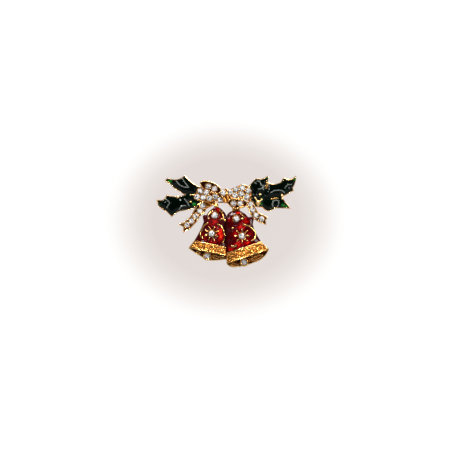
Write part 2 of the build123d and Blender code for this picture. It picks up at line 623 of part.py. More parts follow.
def bell_pieces(side, bell):
    """Casting, enamel, stones, clapper cup and clapper stone of one bell."""
    with BuildPart() as casting:
        add(under_relief(face_of(bell["skin"], layer(0)), bell, -BELL_ENAMEL))
        add(under_relief(face_of(bell["band"], layer(0)), bell, BAND_RISE))
        add(under_relief(face_of(bell["hollow"], layer(TRAY_FLOOR)), bell, -BELL_WALL),
            mode=Mode.SUBTRACT)
        extrude(tray_face(bell, layer(0)), amount=TRAY_FLOOR, dir=FORWARD)
        extrude(tray_rim_face(bell, layer(0)), amount=TRAY_RIM, dir=FORWARD)
        extrude(filigree_face(bell, layer(0)), amount=FILIGREE_HEIGHT, dir=FORWARD)
        add(under_relief(lines_face(bell, layer(0)), bell, LINE_RISE))
        extrude(face_of(bell["eyelet"], layer(0)), amount=EYELET_HEIGHT, dir=FORWARD)
        for diameter, (x, z, height) in bell_stones(bell):
            extrude(discs([(x, z, diameter / 2 + COLLAR_WIDTH)], layer(0)), amount=height,
                    dir=FORWARD)
            cut_seats(diameter, [(x, z, height)])
        extrude(discs([(*bell["clapper"], CUP_RADIUS + SEAT_GAP)], layer(TRAY_FLOOR)),
                amount=CUP_HEIGHT - TRAY_FLOOR + SEAT_GAP, dir=FORWARD, mode=Mode.SUBTRACT)
        extrude(bow_footprint(layer(0)), amount=DEEP, dir=FORWARD, mode=Mode.SUBTRACT)
    casting.part.label = f"{side}_bell_casting"
    export_step(casting.part, f"parts/{side}_bell_casting.step")

    with BuildPart() as enamel:
        add(under_relief(enamel_face(bell, layer(0)), bell, 0))
        add(relief(bell, -BELL_ENAMEL), mode=Mode.SUBTRACT)
    enamel.part.label = f"{side}_bell_enamel"
    export_step(enamel.part, f"parts/{side}_bell_enamel.step")

    with BuildPart() as crystals:
        for diameter, (x, z, height) in bell_stones(bell):
            with Locations(at_front(x, z, height - STONE_SINK)):
                add(stone(diameter))
    crystals.part.label = f"{side}_bell_stones"
    export_step(crystals.part, f"parts/{side}_bell_stones.step")

    clapper_place = (*bell["clapper"], CUP_HEIGHT)
    with BuildPart() as cup:
        extrude(discs([(*bell["clapper"], CUP_RADIUS)], layer(TRAY_FLOOR)),
                amount=CUP_HEIGHT - TRAY_FLOOR, dir=FORWARD)
        cut_seats(CLAPPER_STONE, [clapper_place])
    cup.part.label = f"{side}_clapper_cup"
    export_step(cup.part, f"parts/{side}_clapper_cup.step")
    stones_node(f"{side}_clapper_stone", CLAPPER_STONE, [clapper_place])


bell_pieces("left", LEFT_BELL)
bell_pieces("right", RIGHT_BELL)

# ---------------------------------------------------------------- pin and catch
BACK_Y = -PIN_STANDOFF
HINGE_X = -STEM_LENGTH / 2 - EYE_RADIUS
EAR_INNER = EYE_THICKNESS / 2 + EAR_GAP
EAR_OUTER = EAR_INNER + EAR_THICKNESS
FOOT_REACH = 1.25       # feet each side of the rivet and of the catch

with BuildPart() as pin_joint:
    with BuildSketch(Plane.XY.offset(-EAR_OUTER)):
        with Locations((HINGE_X, BACK_Y)):
            Rectangle(2 * FOOT_REACH, BASE_THICKNESS, align=(Align.CENTER, Align.MIN))
    extrude(amount=2 * EAR_OUTER)
    for ear_start in (-EAR_OUTER, EAR_INNER):
        with BuildSketch(Plane.XY.offset(ear_start)):
            with Locations((HINGE_X, BACK_Y)):
                Rectangle(2 * EAR_RADIUS, PIN_STANDOFF, align=(Align.CENTER, Align.MIN))
            with Locations((HINGE_X, 0)):
                Circle(EAR_RADIUS)
        extrude(amount=EAR_THICKNESS)
    with Locations((HINGE_X, 0, 0)):
        Cylinder(RIVET_RADIUS, 2 * EAR_OUTER, mode=Mode.SUBTRACT)
pin_joint.part.label = "pin_joint"
export_step(pin_joint.part, "parts/pin_joint.step")

with BuildPart() as joint_rivet:
    with Locations((HINGE_X, 0, 0)):
        Cylinder(RIVET_RADIUS, 2 * EAR_OUTER)
    for end in (-1, 1):
        with Locations((HINGE_X, 0, end * (EAR_OUTER + RIVET_HEAD / 2))):
            Cylinder(RIVET_HEAD_RADIUS, RIVET_HEAD)
    outer_rims = joint_rivet.edges().filter_by(GeomType.CIRCLE).group_by(Axis.Z)
    chamfer(outer_rims[0] + outer_rims[-1], length=RIVET_HEAD / 2)
joint_rivet.part.label = "joint_rivet"
export_step(joint_rivet.part, "parts/joint_rivet.step")

with BuildPart() as pin_stem:
    with Locations((HINGE_X, 0, 0)):
        Cylinder(EYE_RADIUS, EYE_THICKNESS)
    with BuildSketch(Plane.YZ.offset(HINGE_X)):
        Circle(STEM_RADIUS)
    extrude(amount=EYE_RADIUS + STEM_LENGTH)
    with BuildSketch(Plane.XY):
        Polygon(
            (STEM_LENGTH / 2, 0),
            (STEM_LENGTH / 2, STEM_RADIUS),
            (STEM_LENGTH / 2 + STEM_POINT, STEM_TIP_RADIUS),
            (STEM_LENGTH / 2 + STEM_POINT, 0),
            align=None,
        )
    revolve(axis=Axis.X)
    with Locations((HINGE_X, 0, 0)):
        Cylinder(RIVET_RADIUS + RIVET_FIT, EYE_THICKNESS, mode=Mode.SUBTRACT)
pin_stem.part.label = "pin_stem"
export_step(pin_stem.part, "parts/pin_stem.step")


def slot(plane, length):
    """Way in for the stem, from the middle of the catch backward."""
    with BuildPart(mode=Mode.PRIVATE) as way:
        with BuildSketch(plane):
            Rectangle(2 * CATCH_RADIUS, SLOT_WIDTH, align=(Align.MIN, Align.CENTER))
        extrude(amount=length)
    return way.part


ROLLER_END = CATCH_THICKNESS / 2 + ROLLER_END_GAP + ROLLER_COLLAR_LENGTH
CATCH_X = STEM_LENGTH / 2 + CATCH_AHEAD + ROLLER_END
CATCH_FACE = Plane.YZ.offset(CATCH_X - CATCH_THICKNESS / 2)
ROLLER_FACE = Plane.YZ.offset(CATCH_X - ROLLER_END)

with BuildPart() as catch:
    with BuildSketch(CATCH_FACE):
        Circle(CATCH_RADIUS)
        with Locations((BACK_Y, 0)):
            Rectangle(PIN_STANDOFF, CATCH_RADIUS, align=(Align.MIN, Align.CENTER))
        Circle(ROLLER_RADIUS + ROLLER_FIT, mode=Mode.SUBTRACT)
    extrude(amount=CATCH_THICKNESS)
    add(slot(CATCH_FACE, CATCH_THICKNESS), mode=Mode.SUBTRACT)
    with BuildSketch(Plane.XY.offset(-CATCH_RADIUS)):
        with Locations((CATCH_X, BACK_Y)):
            Rectangle(2 * FOOT_REACH, BASE_THICKNESS, align=(Align.CENTER, Align.MIN))
    extrude(amount=2 * CATCH_RADIUS)
catch.part.label = "catch"
export_step(catch.part, "parts/catch.step")

with BuildPart() as safety_roller:
    with BuildSketch(ROLLER_FACE):
        Circle(ROLLER_RADIUS)
    extrude(amount=2 * ROLLER_END)
    for collar_start in (ROLLER_FACE, ROLLER_FACE.offset(2 * ROLLER_END - ROLLER_COLLAR_LENGTH)):
        with BuildSketch(collar_start):
            Circle(ROLLER_COLLAR)
        extrude(amount=ROLLER_COLLAR_LENGTH)
    with BuildSketch(ROLLER_FACE):
        Rectangle(TAB_WIDTH, TAB_REACH, align=(Align.CENTER, Align.MAX))
        with Locations((0, -TAB_REACH)):
            Circle(TAB_WIDTH / 2)
    extrude(amount=ROLLER_COLLAR_LENGTH)
    with BuildSketch(ROLLER_FACE):
        Circle(ROLLER_BORE)
    extrude(amount=2 * ROLLER_END, mode=Mode.SUBTRACT)
    add(slot(ROLLER_FACE, 2 * ROLLER_END), mode=Mode.SUBTRACT)
safety_roller.part.label = "safety_roller"
export_step(safety_roller.part, "parts/safety_roller.step")
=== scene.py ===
import math

import bpy
import numpy as np
from bpy.props import FloatProperty, FloatVectorProperty, PointerProperty
from mathutils.geometry import delaunay_2d_cdt
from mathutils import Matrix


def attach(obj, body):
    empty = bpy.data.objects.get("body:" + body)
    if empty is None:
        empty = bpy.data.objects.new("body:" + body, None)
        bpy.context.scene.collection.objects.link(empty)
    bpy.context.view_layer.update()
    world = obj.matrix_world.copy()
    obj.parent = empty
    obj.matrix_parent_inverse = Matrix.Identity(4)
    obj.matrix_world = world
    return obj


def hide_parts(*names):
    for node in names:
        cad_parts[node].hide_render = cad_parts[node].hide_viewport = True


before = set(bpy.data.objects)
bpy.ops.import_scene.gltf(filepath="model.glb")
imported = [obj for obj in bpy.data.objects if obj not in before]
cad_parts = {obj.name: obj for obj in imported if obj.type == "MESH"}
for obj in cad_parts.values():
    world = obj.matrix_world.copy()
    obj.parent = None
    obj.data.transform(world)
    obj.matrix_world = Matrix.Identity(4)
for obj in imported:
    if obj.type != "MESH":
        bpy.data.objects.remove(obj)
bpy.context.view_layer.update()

bl_info = {
    "name": "Christmas Bell Brooch",
    "version": (1, 0, 0),
    "blender": (4, 5, 0),
    "location": "3D View > Sidebar > Brooch",
    "description": "Enamelled bell and holly brooch, with crystals set in gold plate",
    "category": "Object",
}

# Shapes are worked out in drawing millimetres, as arrays of (x, z, depth): x and z from the
# middle of the ornament on its front view, and depth forward from the castings' flat back.
PIN_RISE = 9.0          # pin stem above the middle of the ornament
PIN_STANDOFF = 3.0      # pin stem behind the flat back

LEAF_FLOOR = 1.3
LEAF_RIM = 1.9
LEAF_ENAMEL_TOP = 1.8
BAND_LEVEL = 2.4
UPPER_LOOP_LEVEL = 3.1
UPPER_LOOP_FLOOR = 2.3
FOLD_LEVEL = 1.7
KNOT_LEVEL = 3.3
LOWER_LOOP_LEVEL = 2.6
LOWER_LOOP_FLOOR = 2.25
TAIL_LEVEL = 2.1
TAIL_FLOOR = 1.75
BOW_SLAB = 0.9
STONE_SINK = 0.3
SEAT_GAP = 0.02
SWELL_AXIS = 8.0
BELL_ENAMEL = 0.4
LINE_RISE = 0.18
BAND_RISE = 0.35
BELL_WALL = 1.2
TRAY_FLOOR = 0.8
TRAY_RIM = 1.7
EYELET_LEVEL = 2.5
EYELET_FOOT = 3.5       # the eyelets are above this height
GEM_COLLAR = 0.34       # metal round a bell's stone
FILIGREE_LEVEL = 1.9
CUP_LEVEL = 2.9
STALK_LEVEL = 1.75      # where the berries' stalks meet their plate
CUP_WALL = 0.5
BACK_TONE = 0.1         # how far the antiquing film darkens a casting's back
SAME_LEVEL = 0.02       # depths no further apart are one level
RAIL_WIDTH = 0.42       # rolled edge of the loops and ribbon ends

# parts of a stone's diameter
GIRDLE = 0.06
CROWN = 0.18
PAVILION = 0.36
TABLE_RADIUS = 0.285
STAR_RADIUS, STAR_RISE = 0.405, 0.105
BREAK_RADIUS, BREAK_DEPTH = 0.27, 0.19      # where the pavilion's facets change slope
STONE_FIT = 0.985       # a visible stone against its CAD one, to clear the seat
STONE_TILT = 0.12       # spread of the stones' tilts, in radians

BOW_STONE_NODES = ["left_loop_stones", "knot_stone", "right_loop_stones", "left_tail_stones",
                   "right_tail_stones"]
BELL_STONE_NODES = ["left_bell_stones", "right_bell_stones"]
CLAPPER_STONE_NODES = ["left_clapper_stone", "right_clapper_stone"]

BELLS = {
    "left": {
        "cap": (-3.8, 6.0),
        "lean": math.radians(-7.5),
        "curls": 1.0,       # strength of the scroll work in the mouth
        "valley": 1.4,      # width of the shadow where the bells meet
        "relief": [(-3.0, 1.4), (1.5, 2.6), (4.6, 3.4), (7.5, 3.2), (13.5, 3.8), (20.0, 5.0)],
        "band": [(-14.1, -9.5), (0, -12.5), (0, -9.2), (-11.9, -6.8)],
        "hollow": [(-13.0, -11.8), (-1.2, -14.0), (-1.2, -9.3), (-10.9, -7.4), (-13.0, -9.3)],
        # bright spots of painted light on the red enamel: x, z, radius, strength
        "painted_light": [(-2.3, -3.4, 1.5, 1.0), (-1.9, -5.6, 1.4, 0.9), (-4.2, 0.3, 1.3, 0.8),
                 (-2.8, 2.0, 0.9, 0.5), (-3.2, 4.6, 0.9, 0.7), (-5.2, -7.3, 1.2, 0.6),
                 (-8.4, -5.6, 1.4, 0.35), (-5.9, -0.8, 1.0, 0.45)],
    },
    "right": {
        "cap": (3.45, 4.5),
        "lean": math.radians(13.0),
        "curls": 0.5,
        "valley": 0.7,
        "relief": [(-3.0, 1.8), (1.5, 3.4), (4.6, 4.3), (7.5, 4.4), (13.5, 5.2), (22.0, 7.0)],
        "band": [(0, -15.4), (15.7, -10.1), (12.8, -7.2), (0, -11.35)],
        "hollow": [(1.2, -16.5), (14.3, -12.2), (14.3, -10.2), (11.9, -8.2), (1.2, -11.6)],
        "painted_light": [(5.4, -1.9, 1.3, 0.9), (3.4, -4.6, 1.1, 0.75), (4.4, -8.1, 1.4, 0.9),
                 (6.9, 0.4, 1.1, 0.7), (1.6, -10.0, 1.0, 0.85), (7.6, -7.4, 1.2, 0.75),
                 (4.4, 3.3, 0.9, 0.9), (1.2, 1.0, 0.9, 0.4), (8.4, -4.6, 1.3, 0.4)],
    },
}
STUDS = [(-13.3, 10.0, 0.42), (-13.3, 7.5, 0.42), (12.4, 10.2, 0.5)]
NUBS = [(-18.1, 9.2, 0.55), (20.6, 9.9, 0.5), (20.7, 8.6, 0.45)]
KNOB_FOOT = 0.05        # part of a knob's height where it meets the rim
WIDEST_RIM = 0.5        # metal further in than this lies between two leaves
BARE_RIB = (14.8, 0.8, 12.2)    # rib that no enamel covers: middle x, half width, lowest z
# raised veins and curls in the green enamel
LEAF_VEINS = {
    "left_upper_leaf_enamel": [
        [(-18.5, 15.0), (-17.2, 13.6), (-15.6, 12.9), (-14.1, 12.8)],
        [(-16.0, 15.5), (-15.2, 14.4), (-14.1, 13.0)],
    ],
    "left_lower_leaf_enamel": [
        [(-22.8, 8.6), (-21.6, 7.9), (-21.0, 7.0), (-21.6, 6.2), (-22.1, 5.2)],
        [(-17.6, 4.6), (-16.8, 5.7), (-15.9, 6.1), (-15.0, 6.0)],
        [(-15.6, 8.6), (-14.6, 7.4), (-13.8, 6.0)],
    ],
    "right_short_leaf_enamel": [
        [(11.4, 15.1), (12.3, 15.1), (12.6, 14.4), (12.7, 13.6), (13.6, 13.6), (14.2, 13.1)],
        [(10.4, 14.6), (11.0, 14.2)],
        [(11.8, 12.1), (12.9, 12.5), (13.8, 12.0)],
    ],
    "right_long_leaf_enamel": [
        [(16.4, 10.9), (17.6, 11.6), (19.4, 11.8), (20.6, 11.6), (21.4, 10.9)],
        [(21.6, 12.6), (22.8, 13.9), (24.0, 13.9)],
        [(15.5, 14.0), (15.8, 13.0)],
    ],
    "right_low_leaf_enamel": [
        [(17.3, 5.5), (16.9, 6.7), (17.3, 7.7), (18.3, 8.1), (19.3, 7.8), (19.3, 6.6),
         (18.8, 5.6)],
    ],
}
# light green places, partly thinner enamel and partly painted glints: x, z, radius, strength
LEAF_THIN_AND_GLINTS = [
    (-20.9, 15.0, 0.9, 0.7), (-12.0, 6.6, 0.8, 0.9), (12.9, 6.7, 0.5, 1.0), (13.1, 9.3, 0.7, 0.5),
    (20.9, 6.2, 0.9, 0.6), (22.1, 5.7, 0.5, 0.8), (22.0, 11.7, 0.7, 0.5), (25.2, 15.7, 0.6, 0.5),
    (15.0, 16.6, 0.5, 0.9), (-24.6, 6.3, 0.8, 0.35), (14.5, 12.3, 0.4, 0.8),
    (-23.4, 8.7, 0.5, 0.5),
]
# gold inlay bars in the green enamel, each a path
LEAF_BARS = {
    "right_short_leaf_enamel": [[(14.9, 15.2), (14.75, 13.6), (14.6, 12.3)]],
    "right_low_leaf_enamel": [[(16.3, 8.45), (17.8, 8.75), (19.4, 8.85)]],
}


class BroochSizes(bpy.types.PropertyGroup):
    rim_crest: FloatProperty(name="Rim crest", description="Leaf rim above its CAD level",
                             default=0.00015, unit="LENGTH")
    enamel_crown: FloatProperty(name="Leaf crown", description="Rise of a leaf's middle",
                                default=0.00028, unit="LENGTH")
    bead: FloatProperty(name="Bead radius", description="Radius of the beads that hold a stone",
                        default=0.0002, unit="LENGTH")
    pebble: FloatProperty(name="Pebble size", description="Grain of the bells' hammered bands",
                          default=0.00062, unit="LENGTH")
    pebble_rise: FloatProperty(name="Pebble rise", description="Height of that grain",
                               default=0.00016, unit="LENGTH")
    softened: FloatProperty(name="Softened edge", description="Rounding of the fittings' edges",
                            default=0.00009, unit="LENGTH")


def linear(code):
    """sRGB hex code to linear light, with alpha."""
    parts = [int(code[i:i + 2], 16) / 255 for i in (1, 3, 5)]
    return tuple(p / 12.92 if p <= 0.04045 else ((p + 0.055) / 1.055) ** 2.4
                 for p in parts) + (1.0,)


def colour(name, description, code):
    """A colour setting with a hex default."""
    return FloatVectorProperty(name=name, description=description, subtype="COLOR", size=4,
                               min=0, max=1, default=linear(code))


class BroochColours(bpy.types.PropertyGroup):
    # the gold ramp's light end is partly painted highlight and its dark end partly painted shade,
    # besides tumbled metal and antiquing film
    gold_light: colour("Polished gold", "Rubbed edges of the plate", "#F7BE6E")
    gold_mid: colour("Gold", "Body of the plate", "#CC8438")
    gold_dark: colour("Antiqued gold", "Darkened hollows of the plate", "#34160A")
    # on the red enamel, the bright red is painted light and the deep red its painted shade
    red_bright: colour("Bright red", "Thin red enamel", "#E0120C")
    red_deep: colour("Deep red", "Thick red enamel", "#240002")
    # the light green is partly thinner enamel and partly painted glints
    green_thin: colour("Thin green", "Thin green enamel", "#0C7A18")
    green_deep: colour("Deep green", "Thick green enamel", "#010704")
    # grey of the painted shadow pool behind the brooch; the backdrop is white beyond it
    backdrop: colour("Backdrop", "Backdrop behind the brooch", "#E0D8D5")


# ---------------------------------------------------------------- surfaces
def read_solid(node):
    """A CAD node's merged corners in drawing millimetres, and its triangles."""
    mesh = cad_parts[node].data
    places = np.empty(3 * len(mesh.vertices))
    mesh.vertices.foreach_get("co", places)
    mesh.calc_loop_triangles()
    triangles = np.empty(3 * len(mesh.loop_triangles), np.int32)
    mesh.loop_triangles.foreach_get("vertices", triangles)
    places = places.reshape(-1, 3) * 1000
    drawn = np.column_stack([places[:, 0], places[:, 2] + PIN_RISE, -places[:, 1] - PIN_STANDOFF])
    corners, index = np.unique(np.round(drawn, 3), axis=0, return_inverse=True)
    triangles = index.ravel()[triangles].reshape(-1, 3)
    whole = ((triangles[:, 0] != triangles[:, 1]) & (triangles[:, 1] != triangles[:, 2])
             & (triangles[:, 0] != triangles[:, 2]))
    return corners, triangles[whole]


def sides_of(triangles):
    """The three sides of each triangle, as pairs of corners."""
    return np.concatenate([triangles[:, [0, 1]], triangles[:, [1, 2]], triangles[:, [2, 0]]])


def outline(node, pick=None, facing=1, flat=0.35):
    """Sides (starts, ends) round the part of a CAD node that faces the front, or the back at
    facing -1: the sides that only one picked triangle has, with the part on their left."""
    corners, triangles = read_solid(node)
    a, b, c = (corners[triangles[:, i]] for i in range(3))
    normal = np.cross(b - a, c - a)
    ahead = normal[:, 2] / np.maximum(np.linalg.norm(normal, axis=1), 1e-12) * facing
    kept = ahead > flat
    if pick is not None:
        kept &= pick(*((a + b + c) / 3).T)
    triangles = triangles[kept][:, ::facing]
    pairs = sides_of(triangles)
    code = pairs[:, 0].astype(np.int64) * len(corners) + pairs[:, 1]
    back = pairs[:, 1].astype(np.int64) * len(corners) + pairs[:, 0]
    pairs = pairs[~np.isin(code, back)]
    return corners[pairs[:, 0], :2], corners[pairs[:, 1], :2]


def level(depth):
    """Picks the triangles at one depth."""
    return lambda x, z, d: np.abs(d - depth) < SAME_LEVEL


def back_outline(node, depth=0):
    """Sides of a CAD node's flat back."""
    return outline(node, level(depth), facing=-1, flat=0.99)


def closed(points):
    """Sides of a polygon given counterclockwise."""
    points = np.array(points, float)
    return points, np.roll(points, -1, axis=0)


def batches(points, sides):
    """Splits the points so that a table of points by sides stays small."""
    return np.array_split(np.arange(len(points)), len(points) * len(sides[0]) // 400000 + 1)


def distance(points, sides):
    """Distance of each point from the nearest side: from a side's start the way along it is
    the dot product over its square, held between 0 and 1."""
    starts, run = sides[0], sides[1] - sides[0]
    square = np.maximum((run ** 2).sum(1), 1e-12)
    near = np.empty(len(points))
    for part in batches(points, sides):
        p = points[part]
        dot = p @ run.T - (starts * run).sum(1)
        along = np.clip(dot / square, 0, 1)
        apart = (p ** 2).sum(1)[:, None] - 2 * p @ starts.T + (starts ** 2).sum(1)
        near[part] = (apart - along * (2 * dot - along * square)).min(1)
    return np.sqrt(np.maximum(near, 0))


def is_inside(points, sides):
    """Whether a ray to the right from each point crosses the sides an odd number of times."""
    (x0, z0), run = sides[0].T, sides[1] - sides[0]
    slope = run[:, 0] / np.where(run[:, 1] == 0, 1, run[:, 1])
    odd = np.empty(len(points), bool)
    for part in batches(points, sides):
        x, z = points[part, 0, None], points[part, 1, None]
        crossed = (z0 > z) != (sides[1][:, 1] > z)
        odd[part] = (crossed & (x - x0 < (z - z0) * slope)).sum(1) % 2 == 1
    return odd


def away_from(x, z, sides):
    """Distance of places from the nearest side."""
    return distance(np.column_stack([x, z]), sides)


def within(x, z, sides):
    """Whether places are inside the sides."""
    return is_inside(np.column_stack([x, z]), sides)


def fill(sides, spacing, rows=(0.05, 0.12, 0.22)):
    """Triangles over an outline: its sides cut to the spacing, rows of points set in from
    them, and a triangular grid inside. Returns points, triangles and distances from the edge."""
    starts, ends = sides
    run = ends - starts
    length = np.hypot(*run.T)
    starts, run, length = starts[length > 1e-6], run[length > 1e-6], length[length > 1e-6]
    count = np.ceil(length / spacing).astype(int)
    owner = np.repeat(np.arange(len(starts)), count)
    step = np.arange(count.sum()) - np.repeat(np.cumsum(count) - count, count)
    first = starts[owner] + run[owner] * (step / count[owner])[:, None]
    last = starts[owner] + run[owner] * ((step + 1) / count[owner])[:, None]
    rim, index = np.unique(np.round(np.concatenate([first, last]), 4), axis=0, return_inverse=True)
    edges = index.ravel().reshape(2, -1).T
    left = np.column_stack([-run[:, 1], run[:, 0]])[owner] / length[owner][:, None]
    low, high = rim.min(0), rim.max(0)
    across = np.arange(low[0], high[0], spacing)
    up = np.arange(low[1], high[1], spacing * math.sqrt(0.75))
    grid_x, grid_z = np.meshgrid(across, up)
    grid_x[1::2] += spacing / 2
    inner = [(np.column_stack([grid_x.ravel(), grid_z.ravel()]), rows[-1] + 0.4 * spacing)]
    inner += [((first + last) / 2 + left * row, 0.9 * row) for row in rows]
    kept = [rim]
    for points, least in inner:
        cut = (starts, starts + run)
        kept.append(points[is_inside(points, cut) & (distance(points, cut) > least)])
    made = delaunay_2d_cdt(np.concatenate(kept).tolist(), edges.tolist(), [], 0, 1e-5)
    points = np.array([list(p)[:2] for p in made[0]])
    triangles = np.array(made[2])
    a, b, c = (points[triangles[:, i]] for i in range(3))
    inside = is_inside((a + b + c) / 3, sides)
    turn = (b[:, 0] - a[:, 0]) * (c[:, 1] - a[:, 1]) - (b[:, 1] - a[:, 1]) * (c[:, 0] - a[:, 0])
    triangles = np.where(turn[:, None] < 0, triangles[:, ::-1], triangles)[inside]
    triangles = triangles[np.abs(turn[inside]) > 1e-7]
    used, triangles = np.unique(triangles, return_inverse=True)
    points = points[used]
    return points, triangles.reshape(-1, 3), distance(points, sides)


def worked_out(shape, x, z, edge):
    """A shape at places: a number, or a function of x, z and the distance from the edge."""
    return np.broadcast_to(shape(x, z, edge) if callable(shape) else shape, x.shape)


def relief(sides, spacing, top, base, rows=(0.05, 0.12, 0.22), tone=0.0, slot=0, back_slot=0):
    """Closed solid over an outline: depth top in front and base behind, and a wall all round
    between them. Top, base, tone and slot, the front's material, are each a shape that
    worked_out takes."""
    points, triangles, edge = fill(sides, spacing, rows)
    x, z = points.T
    front = worked_out(top, x, z, edge)
    back = np.minimum(worked_out(base, x, z, edge), front - 0.01)
    count = len(points)
    pairs = sides_of(triangles)
    code, reverse = pairs @ [count, 1], pairs @ [1, count]
    a, b = pairs[~np.isin(code, reverse)].T
    walls = np.concatenate([np.column_stack([b, a, a + count]),
                            np.column_stack([b, a + count, b + count])])
    shade = worked_out(tone, x, z, edge)
    side_slot = 0 if callable(slot) else slot
    front_slots = worked_out(slot, *points[triangles].mean(1).T, edge[triangles].mean(1))
    slots = np.concatenate([front_slots, np.full(len(triangles), back_slot or side_slot),
                            np.full(len(walls), side_slot)])
    return {
        "places": np.concatenate([np.column_stack([points, front]),
                                  np.column_stack([points, back])]),
        "triangles": np.concatenate([triangles, triangles[:, ::-1] + count, walls]),
        "tone": np.concatenate([shade, np.full(count, BACK_TONE)]),
        "slot": slots,
    }


def ball_profile(radius):
    """Half circle to turn into a small ball."""
    arc = np.linspace(-math.pi / 2, math.pi / 2, 7)
    return np.column_stack([radius * np.cos(arc), radius * np.sin(arc)])


def skin_of_rings(rows, sectors):
    """Triangles of a closed skin: corners 0 and 1 are its poles, and the rings follow in
    order from pole 0 to pole 1, each with a corner in every sector."""
    now = np.arange(sectors)
    then = (now + 1) % sectors
    lower = np.arange(rows - 1)[:, None] * sectors + 2
    a, b = (lower + now).ravel(), (lower + then).ravel()
    end = 2 + (rows - 1) * sectors
    return np.concatenate([
        np.column_stack([a, b, b + sectors]), np.column_stack([a, b + sectors, a + sectors]),
        np.column_stack([np.zeros(sectors, int), 2 + then, 2 + now]),
        np.column_stack([np.ones(sectors, int), end + now, end + then]),
    ])


def turned(profile, places, sectors, tone=0.0, slot=0):
    """Solids of revolution about lines of sight: a profile of (radius, depth), closed at both
    poles, turned about each (x, z, depth) place, with its depth counted from there."""
    profile = np.array(profile, float)
    angle = np.arange(sectors) * 2 * math.pi / sectors
    ring = np.stack([profile[1:-1, 0, None] * np.cos(angle),
                     profile[1:-1, 0, None] * np.sin(angle),
                     np.broadcast_to(profile[1:-1, 1, None], (len(profile) - 2, sectors))], 2)
    pole = np.array([[0, 0, profile[0, 1]], [0, 0, profile[-1, 1]]])
    shape = np.concatenate([pole, ring.reshape(-1, 3)])
    triangles = skin_of_rings(len(profile) - 2, sectors)
    places = np.array(places, float).reshape(-1, 3)
    return {
        "places": (places[:, None] + shape).reshape(-1, 3),
        "triangles": (np.arange(len(places))[:, None, None] * len(shape)
                      + triangles).reshape(-1, 3),
        "tone": np.full(len(places) * len(shape), float(tone)),
        "slot": slot,
    }


def bar_of(path, radius, depth, stations=25, sectors=12):
    """Inlaid wire along a path: round in section, flattened a little in depth, and tapered to
    a closed pole at each end by one less the sixth power of the way along."""
    points = np.array(path, float)
    run = np.concatenate([[0], np.cumsum(np.hypot(*np.diff(points, axis=0).T))])
    along = np.linspace(0, run[-1], stations)
    line = np.column_stack([np.interp(along, run, points[:, i]) for i in (0, 1)])
    heading = np.gradient(line, axis=0)
    heading /= np.hypot(*heading.T)[:, None]
    taper = radius * np.sqrt(np.clip(1 - (2 * along / run[-1] - 1) ** 6, 0, 1))
    angle = np.arange(sectors) * 2 * math.pi / sectors
    side = np.column_stack([-heading[:, 1], heading[:, 0]])
    ring = line[:, None] + side[:, None] * (taper[:, None] * np.cos(angle))[..., None]
    out = depth + taper[:, None] * np.sin(angle) * 0.7
    shape = np.concatenate([ring, out[..., None]], axis=2)[1:-1].reshape(-1, 3)
    poles = np.array([[*line[0], depth], [*line[-1], depth]])
    return {"places": np.concatenate([poles, shape]),
            "triangles": skin_of_rings(stations - 2, sectors),
            "tone": np.zeros(len(shape) + 2), "slot": 1}


def make_piece(name, parts, materials, nodes, smooth=38, body="brooch"):
    """One object of several closed parts, in place of CAD nodes."""
    count = np.cumsum([0] + [len(part["places"]) for part in parts])
    drawn = np.concatenate([part["places"] for part in parts])
    triangles = np.concatenate([p["triangles"] + n for p, n in zip(parts, count)]).astype(np.int32)
    places = np.column_stack([drawn[:, 0], -PIN_STANDOFF - drawn[:, 2], drawn[:, 1] - PIN_RISE])
    mesh = bpy.data.meshes.new(name)
    mesh.vertices.add(len(places))
    mesh.vertices.foreach_set("co", (places / 1000).ravel())
    mesh.loops.add(triangles.size)
    mesh.loops.foreach_set("vertex_index", triangles.ravel())
    mesh.polygons.add(len(triangles))
    mesh.polygons.foreach_set("loop_start", np.arange(0, triangles.size, 3))
    owners = np.concatenate([np.full(len(p["triangles"]), p["slot"]) for p in parts])
    mesh.polygons.foreach_set("material_index", owners.astype(np.int32))
    mesh.update(calc_edges=True)
    for key in ("tone", "thinness_and_painted_light"):
        values = [p.get(key, np.zeros(len(p["places"]))) for p in parts]
        layer = mesh.attributes.new(key, "FLOAT", "POINT")
        layer.data.foreach_set("value", np.concatenate(values).astype(np.float32))
    if smooth:
        mesh.shade_smooth()
        mesh.set_sharp_from_angle(angle=math.radians(smooth))
    else:
        mesh.shade_flat()
    if mesh.validate():
        raise RuntimeError(f"{name} had faulty faces")
    for material in materials:
        mesh.materials.append(material)
    piece = bpy.data.objects.new(name, mesh)
    bpy.context.scene.collection.objects.link(piece)
    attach(piece, body)
    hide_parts(*nodes)
    return piece


def arch(value, middle, half):
    """Half circle: 1 at the middle, 0 from half a width away."""
    return np.sqrt(np.clip(1 - ((value - middle) / half) ** 2, 0, 1))


def rounded(edge, radius):
    """Quarter circle: 0 at the edge, 1 from the radius inward."""
    return np.sqrt(1 - (1 - np.clip(edge / radius, 0, 1)) ** 2)


def back_face(x, z, edge):
    """Depth of a casting's back: a rounded edge, a flat border and a shallow sunk field."""
    return 0.3 * (1 - rounded(edge, 0.3)) + 0.14 * np.clip((edge - 0.7) / 0.35, 0, 1)


def lumps(x, z, places):
    """Highest of several round domes, each 1 at its middle and 0 at its radius."""
    domes = [np.sqrt(np.clip(1 - ((x - px) ** 2 + (z - pz) ** 2) / r ** 2, 0, 1))
             for px, pz, r in places]
    return np.max(domes, axis=0)


def spots(x, z, places):
    """Sum of soft round spots, each a bell curve of its radius and strength."""
    return sum(s * np.exp(-((x - px) ** 2 + (z - pz) ** 2) / r ** 2) for px, pz, r, s in places)


def from_path(x, z, points):
    """Distance from a path through points."""
    points = np.array(points, float)
    return away_from(x, z, (points[:-1], points[1:]))


